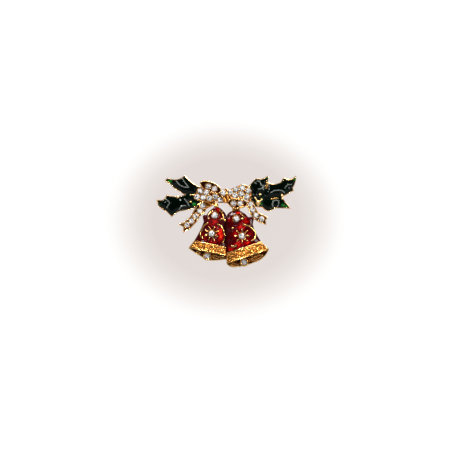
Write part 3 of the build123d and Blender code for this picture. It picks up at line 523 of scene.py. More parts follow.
def waves(x, z, size, seed):
    """Soft uneven swell of about -1 to 1: five sine waves of seeded headings and phases."""
    rng = np.random.default_rng(seed)
    heading, phase = rng.random(5) * math.pi, rng.random(5) * 2 * math.pi
    scale = 2 * math.pi / (size * (0.7 + rng.random(5) * 0.8))
    total = [np.sin((x * math.cos(h) + z * math.sin(h)) * s + p)
             for h, s, p in zip(heading, scale, phase)]
    return np.sum(total, axis=0) / 3


def pebbles(x, z, size, seed):
    """Pebbled surface: the second nearest of a jittered grid's points less the nearest, 0 in
    the joints between pebbles and about 1 on their tops."""
    jitter = np.random.default_rng(seed).random((64, 64, 2))
    column, row = np.floor(x / size).astype(int), np.floor(z / size).astype(int)
    best, second = np.full(x.shape, 9.0), np.full(x.shape, 9.0)
    for i in (-1, 0, 1):
        for j in (-1, 0, 1):
            offset = jitter[(column + i) % 64, (row + j) % 64]
            far = np.hypot(column + i + offset[:, 0] - x / size, row + j + offset[:, 1] - z / size)
            second = np.minimum(second, np.maximum(best, far))
            best = np.minimum(best, far)
    return np.clip((second - best) * 1.6, 0, 1)


def stone_places(*nodes):
    """(x, z, girdle depth, diameter) of each stone in CAD nodes: a stone is a group of joined
    corners, and its girdle is PAVILION of its diameter before its culet."""
    found = []
    for node in nodes:
        corners, triangles = read_solid(node)
        group = np.arange(len(corners))
        while True:
            low = group.copy()
            np.minimum.at(low, triangles.ravel(), np.repeat(group[triangles].min(1), 3))
            if (low == group).all():
                break
            group = low
        for label in np.unique(group):
            stone = corners[group == label]
            low, high = stone.min(0), stone.max(0)
            size = high[0] - low[0]
            found.append([*((low + high) / 2)[:2], low[2] + PAVILION * size, size])
    return np.array(found)


# ---------------------------------------------------------------- materials
def add(tree, kind, inputs=None, stops=None, **settings):
    """Adds a shader node: its settings, its inputs as values or linked sockets, and the
    stops of a colour ramp as (place, colour)."""
    node = tree.nodes.new("ShaderNode" + kind)
    for key, value in settings.items():
        setattr(node, key, value)
    for key, value in (inputs or {}).items():
        if isinstance(value, bpy.types.NodeSocket):
            tree.links.new(value, node.inputs[key])
        else:
            node.inputs[key].default_value = value
    if stops:
        ramp = node.color_ramp
        while len(ramp.elements) < len(stops):
            ramp.elements.new(1)
        for element, (place, shade) in zip(ramp.elements, stops):
            element.position = place
            element.color = shade
    return node


def new_material(name):
    """An empty material, its node tree and its surface output's shader."""
    material = bpy.data.materials.new(name)
    material.use_nodes = True
    tree = material.node_tree
    return material, tree, tree.nodes["Principled BSDF"]


def wire(tree, shader, **sockets):
    """Links sockets or sets values on the shader; a key's _ stands for a space."""
    for key, value in sockets.items():
        socket = shader.inputs[key.replace("_", " ")]
        if isinstance(value, bpy.types.NodeSocket):
            tree.links.new(value, socket)
        else:
            socket.default_value = value


def noise(tree, place, size, detail, **more):
    """Noise with features of about the given mm."""
    inputs = {"Vector": place, "Scale": 1000 / size, "Detail": detail, **more}
    return add(tree, "TexNoise", inputs).outputs["Fac"]


def attribute(tree, name):
    """A value that the mesh carries."""
    return add(tree, "Attribute", attribute_name=name).outputs["Fac"]


def calculate(tree, operation, *values, **settings):
    """A sum on numbers or sockets."""
    return add(tree, "Math", dict(enumerate(values)), operation=operation, **settings).outputs[0]


def ramp(tree, value, *stops):
    """Colour by a value, from stops of (place, hex code or colour)."""
    stops = [(at, linear(shade) if isinstance(shade, str) else shade) for at, shade in stops]
    return add(tree, "ValToRGB", {"Fac": value}, stops).outputs["Color"]


def spread(tree, value, **ends):
    """A value mapped to another range; a key's _ stands for a space."""
    inputs = {key.replace("_", " "): end for key, end in ends.items()}
    return add(tree, "MapRange", {"Value": value, **inputs}).outputs["Result"]


def bump(tree, height, strength, rise):
    """Normal of a surface that rises by the given mm."""
    inputs = {"Height": height, "Strength": strength, "Distance": rise / 1000}
    return add(tree, "Bump", inputs).outputs["Normal"]


def cast_gold(name, grain, grain_rise, darkening, rough=(0.16, 0.42), lightest=None):
    """Electroplated cast alloy, tumbled and then antiqued: where the tone is low the plate is
    light and sharp, and where it is high it is brown, partly as antiquing film in hollows and
    partly as painted shade; the light end is partly a painted highlight. The skin has a fine cast
    grain of the given mm."""
    colours = bpy.context.scene.brooch_colours
    top = linear(lightest) if lightest else colours.gold_light
    material, tree, shader = new_material(name)
    place = add(tree, "TexCoord").outputs["Object"]
    # film that gathers unevenly, in patches of about 0.7 mm
    film = calculate(tree, "SUBTRACT", noise(tree, place, 0.7, 4.0, Roughness=0.6), 0.5)
    uneven = calculate(tree, "MULTIPLY_ADD", film, 0.7, attribute(tree, "tone"))
    depth = calculate(tree, "ADD", uneven, darkening, use_clamp=True)
    skin = ramp(tree, depth, (0.0, top), (0.3, colours.gold_mid), (0.65, "#8A4C18"),
                (0.95, colours.gold_dark))
    polish = spread(tree, depth, To_Min=rough[0], To_Max=rough[1])
    normal = bump(tree, noise(tree, place, grain, 3.0), 0.5, grain_rise)
    wire(tree, shader, Base_Color=skin, Metallic=1.0, Roughness=polish, Normal=normal)
    return material


def green_enamel():
    """Cold enamel poured in cells and levelled: a glassy top over near-black green, lighter where
    the enamel is thinner and at painted glints, with painted highlights of pale grey-green along
    the veins."""
    colours = bpy.context.scene.brooch_colours
    material, tree, shader = new_material("green_enamel_poured")
    place = add(tree, "TexCoord").outputs["Object"]
    cloudy = calculate(tree, "MULTIPLY", attribute(tree, "thinness_and_painted_light"), noise(tree, place, 1.1, 3.0))
    depth = calculate(tree, "MULTIPLY", cloudy, 1.7, use_clamp=True)
    body = ramp(tree, depth, (0.0, colours.green_deep), (0.3, "#02140A"),
                (0.85, colours.green_thin), (1.0, "#3FA63A"))
    # painted highlight: pale grey-green along the raised veins, where the mesh's tone is high
    painted_vein_highlight = add(tree, "Mix", {0: attribute(tree, "tone"), 6: body, 7: linear("#B4BEB8")},
                 data_type="RGBA").outputs[2]
    ripple = bump(tree, noise(tree, place, 1.6, 2.0), 0.06, 0.2)
    wire(tree, shader, Base_Color=painted_vein_highlight, Roughness=0.04, IOR=1.5, Specular_IOR_Level=0.2,
         Normal=ripple)
    return material


def red_enamel():
    """Translucent red enamel over a bright ground: bright red where the mesh's value is high, as
    painted light, and nearly black where it is low, as painted shade, mottled by noise."""
    colours = bpy.context.scene.brooch_colours
    material, tree, shader = new_material("red_enamel_translucent")
    place = add(tree, "TexCoord").outputs["Object"]
    cloud = noise(tree, place, 0.6, 4.0, Roughness=0.65, Distortion=0.6)
    contrast = spread(tree, cloud, From_Min=0.32, From_Max=0.68, To_Min=0.15, To_Max=1.15)
    thinness_and_painted_light = calculate(tree, "ADD", attribute(tree, "thinness_and_painted_light"), 0.1)
    depth = calculate(tree, "MULTIPLY", thinness_and_painted_light, contrast, use_clamp=True)
    body = ramp(tree, depth, (0.0, colours.red_deep), (0.22, "#400003"), (0.55, "#980806"),
                (0.85, colours.red_bright), (1.0, "#FF4420"))
    ripple = bump(tree, noise(tree, place, 1.1, 2.0), 0.5, 0.25)
    wire(tree, shader, Base_Color=body, Roughness=0.08, IOR=1.5, Specular_IOR_Level=0.18,
         Normal=ripple)
    return material


def crystal():
    """Machine cut lead glass: a high index that bends the foil's flashes; a random value per face
    paints most faces white, as painted reflection, and some dark grey, as painted shade."""
    material, tree, shader = new_material("crystal_cut_glass")
    shade = ramp(tree, attribute(tree, "painted_facet_light"), (0.17, "#33373E"), (0.3, "#D4D4DC"),
                 (0.42, "#FFFFFF"))
    wire(tree, shader, Base_Color=shade, Roughness=0.02, IOR=1.56, Transmission_Weight=0.32)
    return material


def foil():
    """Silver foil on the back of a stone, seen through the glass: a grey mirror, dulled in
    patches, painted white on most faces as painted reflection and dark on some as painted shade.
    """
    material, tree, shader = new_material("stone_foil_silvered")
    place = add(tree, "TexCoord").outputs["Object"]
    # foil that has dulled in patches of about 0.3 mm
    dull = noise(tree, place, 0.3, 2.0)
    uneven = calculate(tree, "MULTIPLY_ADD", dull, 0.3, attribute(tree, "painted_facet_light"))
    shade = ramp(tree, uneven, (0.2, "#2C2C32"), (0.42, "#B0B0B6"), (0.54, "#FFFFFF"))
    wire(tree, shader, Base_Color=shade, Metallic=0.8, Roughness=0.12)
    return material


def washed_steel():
    """Drawn spring steel with a thin gold wash: pale straw colour, with fine draw lines that
    run along the wire, about 0.05 mm apart."""
    material, tree, shader = new_material("steel_drawn_gold_washed")
    place = add(tree, "TexCoord").outputs["Object"]
    along = add(tree, "Mapping", {"Vector": place, "Scale": (0.02, 1.0, 1.0)}).outputs["Vector"]
    shade = ramp(tree, noise(tree, place, 2, 3.0), (0.3, "#C9A468"), (0.7, "#E2CB98"))
    lines = bump(tree, noise(tree, along, 0.05, 2.0), 0.3, 0.01)
    wire(tree, shader, Base_Color=shade, Metallic=1.0, Roughness=0.24, Normal=lines)
    return material


# gold plate by its place: name, grain in mm, rise of the grain in mm, darkening, roughness of
# clean and of darkened plate, and the lightest colour where it isn't the polished gold. The
# darkening and the lightest colour make lighter and darker copies of one gold: the antiqued one is
# partly painted shadow in the bells' mouths, and the leaf rims' and the satin ones are lighter
# partly as painted highlight.
GOLDS = {
    "polished": ("gold_plate_polished", 0.35, 0.02, 0.0),
    "rubbed": ("gold_plate_rubbed", 0.3, 0.02, -0.1, (0.22, 0.42), "#FFD48C"),
    "ribbon": ("gold_plate_ribbon", 0.3, 0.03, -0.04, (0.18, 0.42), "#FFCB80"),
    "hammered": ("gold_plate_hammered", 0.25, 0.04, 0.02, (0.2, 0.4)),
    "antique": ("gold_plate_antiqued", 0.4, 0.04, 0.45, (0.3, 0.5)),
    "plain": ("gold_plate_cast_back", 0.5, 0.03, 0.12, (0.26, 0.45)),
    "satin": ("gold_plate_satin", 0.2, 0.03, -0.15, (0.3, 0.5), "#FFDA92"),
}
OTHER_FINISHES = {"green": green_enamel, "red": red_enamel, "crystal": crystal, "foil": foil,
                  "steel": washed_steel}
_made = {}


def finish_of(key):
    """A material by its short name, made the first time that it is asked for."""
    if key not in _made:
        _made[key] = cast_gold(*GOLDS[key]) if key in GOLDS else OTHER_FINISHES[key]()
    return _made[key]


def finishes_of(*keys):
    """Several materials by their short names."""
    return [finish_of(key) for key in keys]


def mm(length):
    """A length setting in millimetres."""
    return length * 1000


# ---------------------------------------------------------------- operators
class BROOCH_OT_sprays(bpy.types.Operator):
    """Holly castings: half-round rims, studs and nubs round sunk cells, on a rounded back"""
    bl_idname = "brooch.sprays"
    bl_label = "Holly Castings"

    def execute(self, context):
        sizes = context.scene.brooch_sizes
        groups = {
            "left_spray_casting": ["left_upper_leaf_enamel", "left_lower_leaf_enamel"],
            "right_spray_casting": ["right_short_leaf_enamel", "right_long_leaf_enamel",
                                    "right_low_leaf_enamel"],
        }
        for node, leaves in groups.items():
            cells = [outline(leaf) for leaf in leaves]
            cells = tuple(np.concatenate([c[i] for c in cells]) for i in (0, 1))
            crest = LEAF_RIM + mm(sizes.rim_crest)

            def knobs(x, z):
                return lumps(x, z, STUDS + NUBS)

            def across(near, edge):
                """Way across a rim: -1 at the casting's edge, 0 at the crest, 1 at the cell."""
                return (edge - near) / np.maximum(edge + near, 1e-6)

            def flooded(x, z, edge):
                """Where enamel runs over the rib between two leaves."""
                middle, half_width, foot = BARE_RIB
                bare = (np.abs(x - middle) < half_width) & (z > foot)
                return (edge > WIDEST_RIM) & (knobs(x, z) < KNOB_FOOT) & ~bare

            def heights(x, z, edge):
                near = away_from(x, z, cells)
                t = across(near, edge)
                rim = crest - np.where(t < 0, 0.55, 0.25) * (1 - arch(t, 0, 1))
                rim = rim + 0.04 * waves(x, z, 1.6, 3)
                rib = LEAF_ENAMEL_TOP + 0.12 - 0.1 * near / 0.17
                rim = np.where(flooded(x, z, edge), rib, rim)
                knob = LEAF_RIM - 0.1 + 0.6 * knobs(x, z)
                rim = np.where(knobs(x, z) > 0, np.maximum(rim, knob), rim)
                return np.where(within(x, z, cells) & (near > 0.02), LEAF_FLOOR, rim)

            def tones(x, z, edge):
                """Painted shade down both sides of a rim's crest, partly antiquing film at its
                foot; none on the crest and the enamel, and a painted highlight on the knobs.
                """
                painted_shade_beside = 0.6 * across(away_from(x, z, cells), edge) ** 2
                tone = np.where(knobs(x, z) > KNOB_FOOT, -0.3, painted_shade_beside)
                return np.where(flooded(x, z, edge), 0, tone)

            def slots(x, z, edge):
                return np.where(knobs(x, z) > KNOB_FOOT, 2, flooded(x, z, edge))

            body = relief(back_outline(node), 0.14, heights, back_face, (0.07, 0.14, 0.21),
                          tones, slot=slots, back_slot=3)
            make_piece(f"{node}_cast", [body], finishes_of("rubbed", "green", "satin", "plain"),
                       [node])
        return {"FINISHED"}


class BROOCH_OT_leaf_enamels(bpy.types.Operator):
    """Green enamel: a crowned pool in each cell, with raised veins and gold inlay bars"""
    bl_idname = "brooch.leaf_enamels"
    bl_label = "Leaf Enamels"

    def execute(self, context):
        crown = mm(context.scene.brooch_sizes.enamel_crown)
        for seed, (node, veins) in enumerate(LEAF_VEINS.items()):

            def ridge(x, z, paths, width):
                """1 on the paths' lines, falling to 0 a width away."""
                far = np.min([from_path(x, z, path) for path in paths], axis=0)
                return np.clip(1 - far / width, 0, 1)

            def heights(x, z, edge):
                pool = LEAF_ENAMEL_TOP - 0.05 + crown * rounded(edge, 1.6)
                vein = ridge(x, z, veins, 0.28)
                swell = 0.02 * waves(x, z, 3.2, 20 + seed) * np.clip(edge, 0, 1)
                return pool + swell + 0.16 * vein * np.clip(edge / 0.5, 0, 1)

            # the tone is a painted highlight along the veins
            body = relief(outline(node), 0.16, heights, LEAF_FLOOR - 0.05, (0.06, 0.15),
                          lambda x, z, edge: 0.6 * ridge(x, z, veins, 0.2) ** 1.3)
            x, z = body["places"][:, :2].T
            edge = away_from(x, z, outline(node))
            # light green: partly thinner enamel and partly painted glints, at the listed spots and
            # near the cell's edge
            body["thinness_and_painted_light"] = np.clip(spots(x, z, LEAF_THIN_AND_GLINTS) + 0.25 * np.exp(-edge / 0.3), 0, 1)
            bars = [bar_of(path, 0.24, LEAF_ENAMEL_TOP + crown * 0.9)
                    for path in LEAF_BARS.get(node, [])]
            make_piece(f"{node}_pool", [body, *bars], finishes_of("green", "polished"), [node],
                       smooth=60)
        return {"FINISHED"}


class BROOCH_OT_bow(bpy.types.Operator):
    """Ribbon bow: bands, loops and tails with collars and beads round the stones"""
    bl_idname = "brooch.bow"
    bl_label = "Bow"

    def execute(self, context):
        sizes = context.scene.brooch_sizes
        stones = stone_places(*BOW_STONE_NODES)
        seat = stones[0, 3] / 2 + SEAT_GAP
        node = "bow_casting"

        def from_stone(x, z):
            return np.min([np.hypot(x - s[0], z - s[1]) for s in stones], axis=0)

        def raised(x, z, edge, lip):
            """1 on the collars round the stones and on the lip at the edge, 0 in the web."""
            far = from_stone(x, z) - seat
            collar = arch(far, 0.15, 0.16) * (far > -0.05)
            rim = arch(edge, lip / 2, lip / 2) * (far > 0.31)
            return np.maximum(collar, rim)

        def web(top, drop, lip=0.34):
            """Sunk field between the collars and the lip, darkened partly as antiquing film and
            partly as painted shade.
            """
            return dict(
                top=lambda x, z, edge: top - drop + (drop + 0.1) * raised(x, z, edge, lip),
                tone=lambda x, z, edge: 1.1 * (1 - raised(x, z, edge, lip)))

        def rail(top):
            """Rolled edge of a loop or ribbon end, darkened down its sides and inside it, partly
            as antiquing film and partly as painted shade.
            """
            def profile(edge):
                return arch(edge, RAIL_WIDTH / 2, RAIL_WIDTH / 2)
            return dict(
                top=lambda x, z, edge: top - 0.2 + 0.32 * profile(edge),
                tone=lambda x, z, edge: 0.55 * (1 - profile(edge)) ** 2)

        def pleats(top, heading, drop):
            """Gathered cloth: a sine wave along the heading, inside a raised lip; darker in the
            folds' hollows, partly antiquing film and partly painted shade, and lighter on the lip.
            """
            def fold(x, z):
                return 0.5 + 0.5 * np.sin((x * math.cos(heading) + z * math.sin(heading)) * 4.4)
            return dict(
                top=lambda x, z, edge: (top - drop * (1 - rounded(edge, 0.9))
                                        - 0.28 * fold(x, z) * np.clip(edge / 0.4, 0, 1)
                                        + 0.12 * raised(x, z, edge, 0.2)),
                tone=lambda x, z, edge: np.clip(0.2 + 0.8 * fold(x, z)
                                                - 0.5 * raised(x, z, edge, 0.25), 0, 1))

        levels = [
            (BAND_LEVEL, web(BAND_LEVEL, 0.22)),
            (UPPER_LOOP_LEVEL, rail(UPPER_LOOP_LEVEL)),
            (UPPER_LOOP_FLOOR, web(UPPER_LOOP_FLOOR, 0.3, 0.1)),
            (FOLD_LEVEL, pleats(FOLD_LEVEL + 0.2, 1.0, 0.5)),
            (KNOT_LEVEL, pleats(KNOT_LEVEL + 0.1, 0.4, 0.7)),
            (LOWER_LOOP_LEVEL, rail(LOWER_LOOP_LEVEL)),
            (LOWER_LOOP_FLOOR, web(LOWER_LOOP_FLOOR, 0.2, 0.1)),
            (TAIL_LEVEL, rail(TAIL_LEVEL)),
            (TAIL_FLOOR, web(TAIL_FLOOR, 0.2, 0.1)),
        ]
        parts = [relief(back_outline(node), 0.3, BOW_SLAB, back_face, (0.07, 0.16, 0.3), 0.3,
                        slot=1)]
        for depth, shape in levels:
            sides = outline(node, level(depth), flat=0.99)
            parts.append(relief(sides, 0.14, shape["top"], BOW_SLAB - 0.02, (0.05, 0.1, 0.18),
                                shape["tone"]))
        parts.append(self.beads(stones, seat, mm(sizes.bead), back_outline(node)))
        make_piece(f"{node}_cast", parts, finishes_of("ribbon", "plain"), [node])
        return {"FINISHED"}

    def beads(self, stones, seat, radius, footprint):
        """Four small balls round each stone, left out where they would be off the metal or
        on another stone."""
        angle = (np.arange(len(stones)) * 1.1 + 0.6)[:, None] + np.arange(4) * math.pi / 2
        reach = seat + 0.1
        x = stones[:, 0, None] + reach * np.cos(angle)
        z = stones[:, 1, None] + reach * np.sin(angle)
        depth = np.broadcast_to(stones[:, 2, None] + STONE_SINK + 0.02, x.shape)
        places = np.column_stack([x.ravel(), z.ravel(), depth.ravel()])
        far = np.hypot(places[:, 0, None] - stones[:, 0], places[:, 1, None] - stones[:, 1])
        far = np.sort(far, axis=1)[:, 1]
        spot = places[:, :2]
        on_metal = is_inside(spot, footprint) & (distance(spot, footprint) > 0.12)
        return turned(ball_profile(radius), places[on_metal & (far > seat + 0.02)], 8)


def dome(bell, x, z):
    """Depth of a bell's round front: a circle about an axis behind the back, whose radius
    runs smoothly from one station of the relief to the next."""
    right, up = x - bell["cap"][0], z - bell["cap"][1]
    across = right * math.cos(bell["lean"]) + up * math.sin(bell["lean"])
    down = right * math.sin(bell["lean"]) - up * math.cos(bell["lean"])
    fine = np.linspace(-5, 24, 291)
    stations = np.array(bell["relief"])
    heights = np.interp(fine, stations[:, 0], stations[:, 1])
    window = np.hanning(17) / np.hanning(17).sum()
    smooth = np.convolve(np.pad(heights, 8, mode="edge"), window, mode="valid")
    radius = SWELL_AXIS + np.interp(down, fine, smooth)
    return np.sqrt(np.maximum(radius ** 2 - across ** 2, SWELL_AXIS ** 2)) - SWELL_AXIS


def outside_of(node):
    """Sides of a bell's back, without the line where the bells meet."""
    starts, ends = back_outline(node)
    hidden = np.abs(starts[:, 0]) + np.abs(ends[:, 0]) < SAME_LEVEL
    return starts[~hidden], ends[~hidden]


class BROOCH_OT_bells(bpy.types.Operator):
    """Bell castings: round fronts, pebbled bands, scroll wires, hollow mouths and eyelets"""
    bl_idname = "brooch.bells"
    bl_label = "Bells"

    def execute(self, context):
        sizes = context.scene.brooch_sizes
        for side, bell in BELLS.items():
            node = f"{side}_bell_casting"
            band, hollow = closed(bell["band"]), closed(bell["hollow"])
            gems = stone_places(f"{side}_bell_stones")
            whole, outside = back_outline(node), outside_of(node)

            def is_eyelet(x, z, d):
                return (np.abs(d - EYELET_LEVEL) < SAME_LEVEL) & (z > EYELET_FOOT)

            def on_front(x, z, d, least):
                """Picks the round front, clear of the tray, by its height over the dome."""
                above = d - dome(bell, x, z)
                return (above > least) & (d > TRAY_RIM + 0.3) & ~is_eyelet(x, z, d)

            skin = outline(node, lambda x, z, d: on_front(x, z, d, -0.75))
            wires = outline(node, lambda x, z, d: on_front(x, z, d, -0.1) & ~within(x, z, band))
            ring = outline(node, level(FILIGREE_LEVEL), flat=0.99)

            def from_gem(x, z):
                """Distance from the nearest stone's edge."""
                return np.min([np.hypot(x - g[0], z - g[1]) - g[3] / 2 for g in gems], axis=0)

            def hollowed(x, z, edge):
                """The mouth's hollow, up to the inside of the wall."""
                inward = np.where(within(x, z, hollow), away_from(x, z, hollow), 0) / 0.2
                roof = dome(bell, x, z) - BELL_ENAMEL - BELL_WALL
                rise = np.maximum(roof - TRAY_FLOOR + 0.02, 0)
                return TRAY_FLOOR - 0.02 + np.clip(inward, 0, 1) * rise

            def core(x, z, edge):
                shoulder = 1 - rounded(away_from(x, z, outside), 0.7)
                return dome(bell, x, z) - BELL_ENAMEL - 0.5 * shoulder

            def curls(x, z):
                """Pierced scroll work in the mouth: ridges along the level lines of a swell."""
                ridges = np.clip(1 - np.abs(waves(x, z, 1.9, 57)) / 0.32, 0, 1)
                return bell["curls"] * np.sqrt(ridges)

            def tray(x, z, edge):
                lip = arch(edge, 0.26, 0.27) * (TRAY_RIM - TRAY_FLOOR + 0.1)
                rise = np.maximum(lip, 0.55 * curls(x, z))
                return TRAY_FLOOR + np.where(within(x, z, skin), 0, rise)

            def tray_tone(x, z, edge):
                # the mouth's floor is dark, partly antiquing film and partly painted shade; the
                # scroll ridges are lighter, the lip is a painted highlight, and next to the
                # filigree ring it is less dark
                shade = 1.15 - 1.35 * curls(x, z)
                painted_shade_beside = away_from(x, z, ring) < 0.3
                return np.where(edge < 0.42, -0.2, np.where(painted_shade_beside, 0.7, shade))

            def band_field(edge):
                """0 on the band's plain lip, 1 in its pebbled field."""
                return np.clip((edge - 0.28) / 0.2, 0, 1)

            def pebbled(x, z, edge):
                outer = away_from(x, z, outside)
                grain = mm(sizes.pebble_rise) * (pebbles(x, z, mm(sizes.pebble), 11) - 0.3)
                return (dome(bell, x, z) + BAND_RISE - 0.12 + 0.12 * arch(edge, 0.2, 0.21)
                        + band_field(edge) * (grain + 0.08 * waves(x, z, 1.7, 5))
                        - 0.5 * (1 - rounded(outer, 0.5)) * (outer < 0.5))

            def pebble_tone(x, z, edge):
                grain = pebbles(x, z, mm(sizes.pebble), 11)
                patch = pebbles(x, z, 2.2 * mm(sizes.pebble), 12)
                film = 0.62 * (1 - grain) ** 1.5 + 0.25 * (1 - patch) - 0.05
                return np.clip(band_field(edge) * film, 0, 1)

            def wire_top(x, z, edge):
                flat = np.max([np.where(np.hypot(x - g[0], z - g[1]) < g[3] / 2 + GEM_COLLAR,
                                        g[2] + STONE_SINK, 0) for g in gems], axis=0)
                line = dome(bell, x, z) + LINE_RISE - 0.24 + 0.34 * rounded(edge, 0.24)
                collar = flat - 0.15 + 0.22 * rounded(edge, 0.16)
                return np.where(from_gem(x, z) < GEM_COLLAR, collar, line)

            def wire_tone(x, z, edge):
                side_tone = 0.35 * (1 - rounded(edge, 0.1))
                return np.where(from_gem(x, z) < GEM_COLLAR, 0.5, side_tone)

            floor = relief(whole, 0.17, tray, back_face, (0.08, 0.17, 0.26, 0.4), tray_tone,
                           slot=3, back_slot=4)
            # slot 1 is the antiqued finish: its dark inner wall is partly painted shadow in the
            # mouth
            body = relief(skin, 0.3, core, hollowed, (0.1, 0.3), 0.6, slot=1)
            collar = relief(band, 0.115, pebbled,
                            lambda x, z, edge: dome(bell, x, z) - BELL_ENAMEL - 0.9,
                            (0.06, 0.13, 0.2, 0.28), pebble_tone, slot=2)
            scrolls = relief(wires, 0.12, wire_top, lambda x, z, edge: dome(bell, x, z) - 0.55,
                             (0.04, 0.09, 0.16), wire_tone)
            eyelet = relief(outline(node, is_eyelet), 0.14,
                            lambda x, z, edge: EYELET_LEVEL - 0.45 + 0.5 * rounded(edge, 0.6),
                            TRAY_FLOOR - 0.1, (0.05, 0.12))
            ovals = relief(ring, 0.1,
                           lambda x, z, edge: FILIGREE_LEVEL - 0.15 + 0.25 * rounded(edge, 0.3),
                           TRAY_FLOOR - 0.1, (0.04, 0.09),
                           lambda x, z, edge: -0.2 + 0.5 * (1 - rounded(edge, 0.15)), slot=3)
            make_piece(f"{node}_cast", [floor, body, collar, scrolls, eyelet, ovals],
                       finishes_of("polished", "antique", "hammered", "satin", "plain"),
                       [node])
        return {"FINISHED"}


class BROOCH_OT_bell_enamels(bpy.types.Operator):
    """Red enamel: fills the fields between the scroll wires and rolls over the outer edge"""
    bl_idname = "brooch.bell_enamels"
    bl_label = "Bell Enamels"

    def execute(self, context):
        for side, bell in BELLS.items():
            node = f"{side}_bell_enamel"
            outside = outside_of(f"{side}_bell_casting")
            sides = outline(node)

            def surface(x, z, edge):
                outer = away_from(x, z, outside)
                climb = 0.1 * np.exp(-edge / 0.18) * (outer > 0.6)
                sag = 0.06 * waves(x, z, 2.6, 31) * np.clip(edge / 0.6, 0, 1)
                return dome(bell, x, z) + climb + sag - 0.55 * (1 - rounded(outer, 0.75))

            def under(x, z, edge):
                return dome(bell, x, z) - BELL_ENAMEL - 0.65

            body = relief(sides, 0.16, surface, under, (0.06, 0.14, 0.25))
            x, z = body["places"][:, :2].T
            edge = away_from(x, z, sides)
            # painted light: bright spots and a random swell; painted shade near the wires, by the
            # edge factor, and where the bells meet, by the valley factor
            painted_light = 0.14 + 0.85 * spots(x, z, bell["painted_light"]) + 0.12 * waves(x, z, 1.3, 41)
            valley = np.clip((np.abs(x) - 0.1) / bell["valley"], 0, 1)
            body["thinness_and_painted_light"] = np.clip(painted_light, 0, 1) * np.clip(0.3 + edge / 0.4, 0, 1) * valley
            make_piece(f"{node}_pool", [body], finishes_of("red"), [node], smooth=60)
        return {"FINISHED"}


class BROOCH_OT_stones(bpy.types.Operator):
    """Round brilliant chatons: 33 crown facets over a foiled pavilion of 24"""
    bl_idname = "brooch.stones"
    bl_label = "Stones"

    def execute(self, context):
        for number, node in enumerate(BOW_STONE_NODES + BELL_STONE_NODES + CLAPPER_STONE_NODES):
            gems = stone_places(node)
            stone = self.cut(gems, 7 + 10 * number)
            piece = make_piece(f"{node}_cut", [stone], finishes_of("crystal", "foil"), [node],
                               smooth=0)
            # random value per face: painted reflection where high, painted shade where low
            facets = np.random.default_rng(number).random(len(stone["triangles"]))
            layer = piece.data.attributes.new("painted_facet_light", "FLOAT", "FACE")
            layer.data.foreach_set("value", facets.astype(np.float32))
        return {"FINISHED"}

    def cut(self, gems, seed):
        """Rings of corners about the axis: table, star, girdle's two edges, pavilion's middle
        and the culet, each at its part of the diameter, then set at every stone's place with
        a turn of its own and a slight tilt."""
        eighth, sixteenth = np.arange(8) * math.pi / 4, np.arange(16) * math.pi / 8
        between = eighth + math.pi / 8
        rings = [(eighth, TABLE_RADIUS, GIRDLE + CROWN),
                 (between, STAR_RADIUS, GIRDLE + STAR_RISE), (sixteenth, 0.5, GIRDLE),
                 (sixteenth, 0.5, 0.0), (between, BREAK_RADIUS, -BREAK_DEPTH)]
        corners = [np.column_stack([r * np.cos(a), r * np.sin(a), np.full(a.shape, d)])
                   for a, r, d in rings] + [np.array([[0, 0, -PAVILION], [0, 0, GIRDLE + CROWN]])]
        shape = np.concatenate(corners)
        table, star, upper, lower, middle = 0, 8, 16, 32, 48
        culet, centre = 56, 57
        k = np.arange(8)
        after, before, double = (k + 1) % 8, (k - 1) % 8, 2 * k
        one, two = double + 1, (double + 2) % 16
        g = np.arange(16)
        h = (g + 1) % 16
        crown = np.concatenate([np.column_stack(rows) for rows in [
            (np.full(8, centre), table + k, table + after),
            (table + k, star + k, table + after),
            (table + k, star + before, upper + double), (table + k, upper + double, star + k),
            (star + k, upper + double, upper + one), (star + k, upper + one, upper + two),
            ]] + [np.column_stack([upper + g, lower + g, lower + h]),
                  np.column_stack([upper + g, lower + h, upper + h])])
        foil_side = np.concatenate([np.column_stack(rows) for rows in [
            (lower + double, middle + k, lower + one), (lower + one, middle + k, lower + two),
            (lower + double, middle + before, np.full(8, culet)),
            (lower + double, np.full(8, culet), middle + k)]])
        rng = np.random.default_rng(seed)
        turn = rng.random(len(gems)) * math.pi / 4
        tilt = (rng.random((len(gems), 2)) - 0.5) * STONE_TILT
        c, s = np.cos(turn)[:, None], np.sin(turn)[:, None]
        size = gems[:, 3, None] * STONE_FIT
        x = (shape[:, 0] * c - shape[:, 1] * s) * size
        z = (shape[:, 0] * s + shape[:, 1] * c) * size
        d = shape[:, 2] * size + x * tilt[:, :1] + z * tilt[:, 1:]
        places = np.stack([x + gems[:, 0, None], z + gems[:, 1, None], d + gems[:, 2, None]], 2)
        shift = np.arange(len(gems))[:, None, None] * len(shape)
        triangles = np.concatenate([(shift + crown).reshape(-1, 3),
                                    (shift + foil_side).reshape(-1, 3)])
        slots = np.repeat([0, 1], [len(gems) * len(crown), len(gems) * len(foil_side)])
        return {"places": places.reshape(-1, 3), "triangles": triangles,
                "tone": np.zeros(len(gems) * len(shape)), "slot": slots}


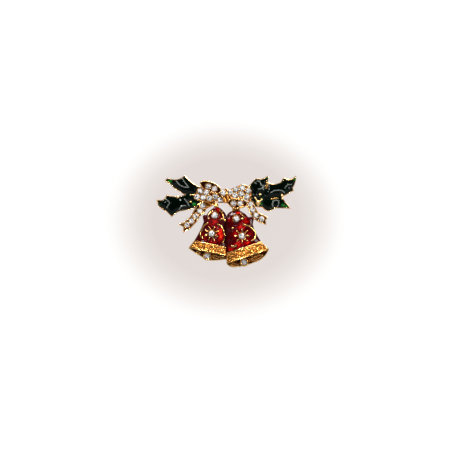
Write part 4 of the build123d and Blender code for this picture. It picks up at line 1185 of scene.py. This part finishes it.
class BROOCH_OT_clapper_cups(bpy.types.Operator):
    """Clapper cups: turned collets with a rolled lip round the seat"""
    bl_idname = "brooch.clapper_cups"
    bl_label = "Clapper Cups"

    def execute(self, context):
        for side in BELLS:
            x, z, girdle, size = stone_places(f"{side}_clapper_stone")[0]
            seat = size / 2 + SEAT_GAP
            outer = seat + CUP_WALL
            lip = np.linspace(0, math.pi, 9)
            roll_r = (outer + seat) / 2 + (outer - seat) / 2 * np.cos(lip)
            roll_d = CUP_LEVEL - 0.3 + 0.36 * np.sin(lip)
            profile = [(0, TRAY_FLOOR - 0.1), (outer - 0.05, TRAY_FLOOR - 0.1),
                       (outer, TRAY_FLOOR + 0.2), (outer - 0.08, 1.5), (outer - 0.08, 2.0)]
            profile += list(zip(roll_r, roll_d))
            profile += [(0.25, girdle - PAVILION * size - 0.03),
                        (0, girdle - PAVILION * size - 0.05)]
            cup = turned(profile, [(x, z, 0)], 40, 0.1)
            reach = seat + 0.12
            angle = np.arange(6) * math.pi / 3 + 0.4
            places = np.column_stack([x + reach * np.cos(angle), z + reach * np.sin(angle),
                                      np.full(6, CUP_LEVEL)])
            beads = turned(ball_profile(0.2), places, 8)
            make_piece(f"{side}_clapper_cup_turned", [cup, beads], finishes_of("polished"),
                       [f"{side}_clapper_cup"])
        return {"FINISHED"}


class BROOCH_OT_berries(bpy.types.Operator):
    """Berry cluster: a lumpy round nugget on three stalks"""
    bl_idname = "brooch.berries"
    bl_label = "Berries"

    def execute(self, context):
        node = "berry_cluster"
        balls = [(11.75, 7.15, 1.0), (10.6, 8.95, 0.42), (13.0, 8.3, 0.42), (11.6, 5.9, 0.4)]

        def surface(x, z, edge):
            stalk = STALK_LEVEL + 0.4 * rounded(edge, 0.31)
            ball = lumps(x, z, balls[:1]) + 0.05 * waves(x, z, 0.9, 7)
            knob = lumps(x, z, balls[1:]) * 0.55
            return np.maximum(stalk, STALK_LEVEL + np.maximum(ball, knob))

        cluster = relief(back_outline(node, LEAF_FLOOR), 0.1, surface,
                         LEAF_FLOOR - 0.02, (0.05, 0.1),
                         lambda x, z, edge: -0.2 + 0.4 * (1 - rounded(edge, 0.2)))
        make_piece(f"{node}_cast", [cluster], finishes_of("satin"), [node])
        return {"FINISHED"}


class BROOCH_OT_fittings(bpy.types.Operator):
    """Pin fittings: merged copies of the CAD solids with softened edges"""
    bl_idname = "brooch.fittings"
    bl_label = "Pin Fittings"

    def execute(self, context):
        width = context.scene.brooch_sizes.softened
        plan = {
            "pin_joint": ("brooch", "plain", "gold_fittings"),
            "catch": ("brooch", "plain", "gold_fittings"),
            "joint_rivet": ("brooch", "steel", "gold_washed_steel"),
            "safety_roller": ("safety_roller", "plain", "gold_fittings"),
            "pin_stem": ("pin_stem", "steel", "gold_washed_steel"),
        }
        for node, (body, finish, slot) in plan.items():
            drawn, triangles = read_solid(node)
            part = {"places": drawn, "triangles": triangles, "tone": np.zeros(len(drawn)),
                    "slot": 0}
            piece = make_piece(f"{node}_softened", [part], finishes_of(finish), [node],
                               smooth=30, body=body)
            bevel = piece.modifiers.new("softened_edges", "BEVEL")
            bevel.width = width
            bevel.segments = 3
            bevel.limit_method = "ANGLE"
            bevel.angle_limit = math.radians(40)
        return {"FINISHED"}


LENS, SENSOR = 100.0, 36.0              # mm
VIEW_WIDTH = 0.1709                     # metres that the camera sees across the brooch
VIEW_MIDDLE = (0.0013, -0.003, -0.01197)


class BROOCH_OT_stage(bpy.types.Operator):
    """Pale sweep, soft lights and the camera, square on to the brooch"""
    bl_idname = "brooch.stage"
    bl_label = "Stage"

    def execute(self, context):
        scene = context.scene
        self.sweep(scene)
        self.lights(scene)
        self.world(scene)
        camera = bpy.data.cameras.new("camera")
        camera.lens, camera.sensor_width = LENS, SENSOR
        camera.clip_start, camera.clip_end = 0.01, 10
        eye = bpy.data.objects.new("camera", camera)
        x, y, z = VIEW_MIDDLE
        eye.location = (x, y - VIEW_WIDTH * LENS / SENSOR, z)
        eye.rotation_euler = (math.pi / 2, 0, 0)
        scene.collection.objects.link(eye)
        scene.camera = eye
        scene.view_settings.view_transform = "Standard"
        return {"FINISHED"}

    def sweep(self, scene):
        """Floor, cove and wall in one surface: a profile of a straight, a quarter circle and
        a straight, carried along x."""
        floor, wall, cove = -0.12, 0.45, 0.2
        arc = np.linspace(0, math.pi / 2, 17)
        y = np.concatenate([[-3.0], wall - cove + cove * np.sin(arc), [wall]])
        z = np.concatenate([[floor], floor + cove - cove * np.cos(arc), [1.4]])
        x = np.linspace(-3.0, 3.0, 9)
        grid = np.stack(np.broadcast_arrays(x[:, None], y, z), 2).reshape(-1, 3)
        rows, columns = len(x), len(y)
        corner = (np.arange(rows - 1)[:, None] * columns + np.arange(columns - 1)).ravel()
        faces = np.column_stack([corner, corner + columns, corner + columns + 1, corner + 1])
        mesh = bpy.data.meshes.new("sweep")
        mesh.from_pydata(grid.tolist(), [], faces.tolist())
        mesh.shade_smooth()
        sweep = bpy.data.objects.new("sweep", mesh)
        scene.collection.objects.link(sweep)
        mesh.materials.append(self.paper(scene.brooch_colours.backdrop))

    def paper(self, shade):
        """Matt white paper sweep that glows as if lit from behind: white, with a soft warm grey
        pool of painted shadow behind the brooch. It shines on the brooch itself at a fraction of
        that, as in a dim tent."""
        material, tree, shader = new_material("paper_matt_white")
        place = add(tree, "TexCoord").outputs["Object"]
        ball = add(tree, "Mapping", {"Vector": place, "Location": (0.018, -1.0, 0.045),
                                     "Scale": (11.2, 2.22, 13.5)}).outputs["Vector"]
        pool = add(tree, "TexGradient", {"Vector": ball}, gradient_type="SPHERICAL"
                   ).outputs["Fac"]
        # painted shadow: a warm grey pool round the brooch, fading to white
        painted_shadow_tint = ramp(tree, pool, (0.0, "#FFFFFF"), (0.1, "#FAF9F8"), (0.2, "#F2EDEB"),
                    (0.3, "#E8E2DF"), (0.42, shade), (1.0, shade))
        seen = add(tree, "LightPath").outputs["Is Camera Ray"]
        shine = spread(tree, seen, To_Min=0.55, To_Max=1.0)
        wire(tree, shader, Base_Color=linear("#202020"), Roughness=1.0, Specular_IOR_Level=0.0,
             Emission_Color=painted_shadow_tint, Emission_Strength=shine)
        return material

    def lights(self, scene):
        """Soft boxes as (name, place, width, height, watts), all turned to the brooch."""
        aim = np.array([0, 0, -0.01])
        for name, place, width, height, power in [
            ("key", (-0.26, -0.45, 0.40), 0.10, 0.10, 3.2),
            ("fill", (0.45, -0.38, 0.16), 0.05, 0.20, 1.7),
            ("top", (0.05, -0.12, 0.50), 0.40, 0.05, 2.0),
            ("low", (-0.15, -0.40, -0.25), 0.25, 0.03, 1.4),
            ("near_left", (-0.09, -0.47, 0.06), 0.02, 0.02, 0.08),
            ("near_right", (0.10, -0.47, 0.02), 0.02, 0.02, 0.08),
            ("back", (0.15, 0.33, 0.25), 0.25, 0.15, 2.5),
        ]:
            lamp = bpy.data.lights.new(name, "AREA")
            lamp.shape, lamp.size, lamp.size_y = "RECTANGLE", width, height
            lamp.energy = power
            lamp.color = (1.0, 0.98, 0.96)
            box = bpy.data.objects.new(name, lamp)
            box.location = place
            way = aim - np.array(place)
            away = math.atan2(math.hypot(way[0], way[1]), -way[2])
            box.rotation_euler = (away, 0, math.atan2(way[1], way[0]) - math.pi / 2)
            box.visible_camera = False
            scene.collection.objects.link(box)

    def world(self, scene):
        """Dim room that is darkest in front, so that polished faces have contrast; it looks
        pale to the camera itself."""
        world = bpy.data.worlds.new("studio")
        scene.world = world
        world.use_nodes = True
        tree = world.node_tree
        way = add(tree, "TexCoord").outputs["Generated"]
        parts = add(tree, "SeparateXYZ", {"Vector": way})
        front = ramp(tree, spread(tree, parts.outputs["Y"], From_Min=-1.0, From_Max=0.2),
                     (0.0, "#2A2826"), (0.3, "#4A4744"), (1.0, "#A8A49E"))
        seen = add(tree, "LightPath").outputs["Is Camera Ray"]
        shade = add(tree, "Mix", {0: seen, 6: front, 7: linear("#FFFFFF")}, data_type="RGBA"
                    ).outputs[2]
        tree.links.new(shade, tree.nodes["Background"].inputs["Color"])


class BROOCH_PT_panel(bpy.types.Panel):
    """Lists the sizes, the colours and the makers of the brooch"""
    bl_idname = "BROOCH_PT_panel"
    bl_label = "Christmas Bell Brooch"
    bl_space_type = "VIEW_3D"
    bl_region_type = "UI"
    bl_category = "Brooch"

    def draw(self, context):
        for group in (context.scene.brooch_sizes, context.scene.brooch_colours):
            box = self.layout.box()
            for key in group.__annotations__:
                box.prop(group, key)
        for operator in OPERATORS:
            self.layout.operator(operator.bl_idname)


OPERATORS = (
    BROOCH_OT_stage, BROOCH_OT_sprays, BROOCH_OT_leaf_enamels, BROOCH_OT_bow, BROOCH_OT_bells,
    BROOCH_OT_bell_enamels, BROOCH_OT_stones, BROOCH_OT_clapper_cups, BROOCH_OT_berries,
    BROOCH_OT_fittings,
)
CLASSES = (BroochSizes, BroochColours, *OPERATORS, BROOCH_PT_panel)


def register():
    for cls in CLASSES:
        bpy.utils.register_class(cls)
    bpy.types.Scene.brooch_sizes = PointerProperty(type=BroochSizes)
    bpy.types.Scene.brooch_colours = PointerProperty(type=BroochColours)


def unregister():
    del bpy.types.Scene.brooch_colours
    del bpy.types.Scene.brooch_sizes
    for cls in reversed(CLASSES):
        bpy.utils.unregister_class(cls)


def main():
    register()
    for operator in OPERATORS:
        space, name = operator.bl_idname.split(".")
        getattr(getattr(bpy.ops, space), name)()
    bpy.context.view_layer.update()


if __name__ == "__main__":
    main()
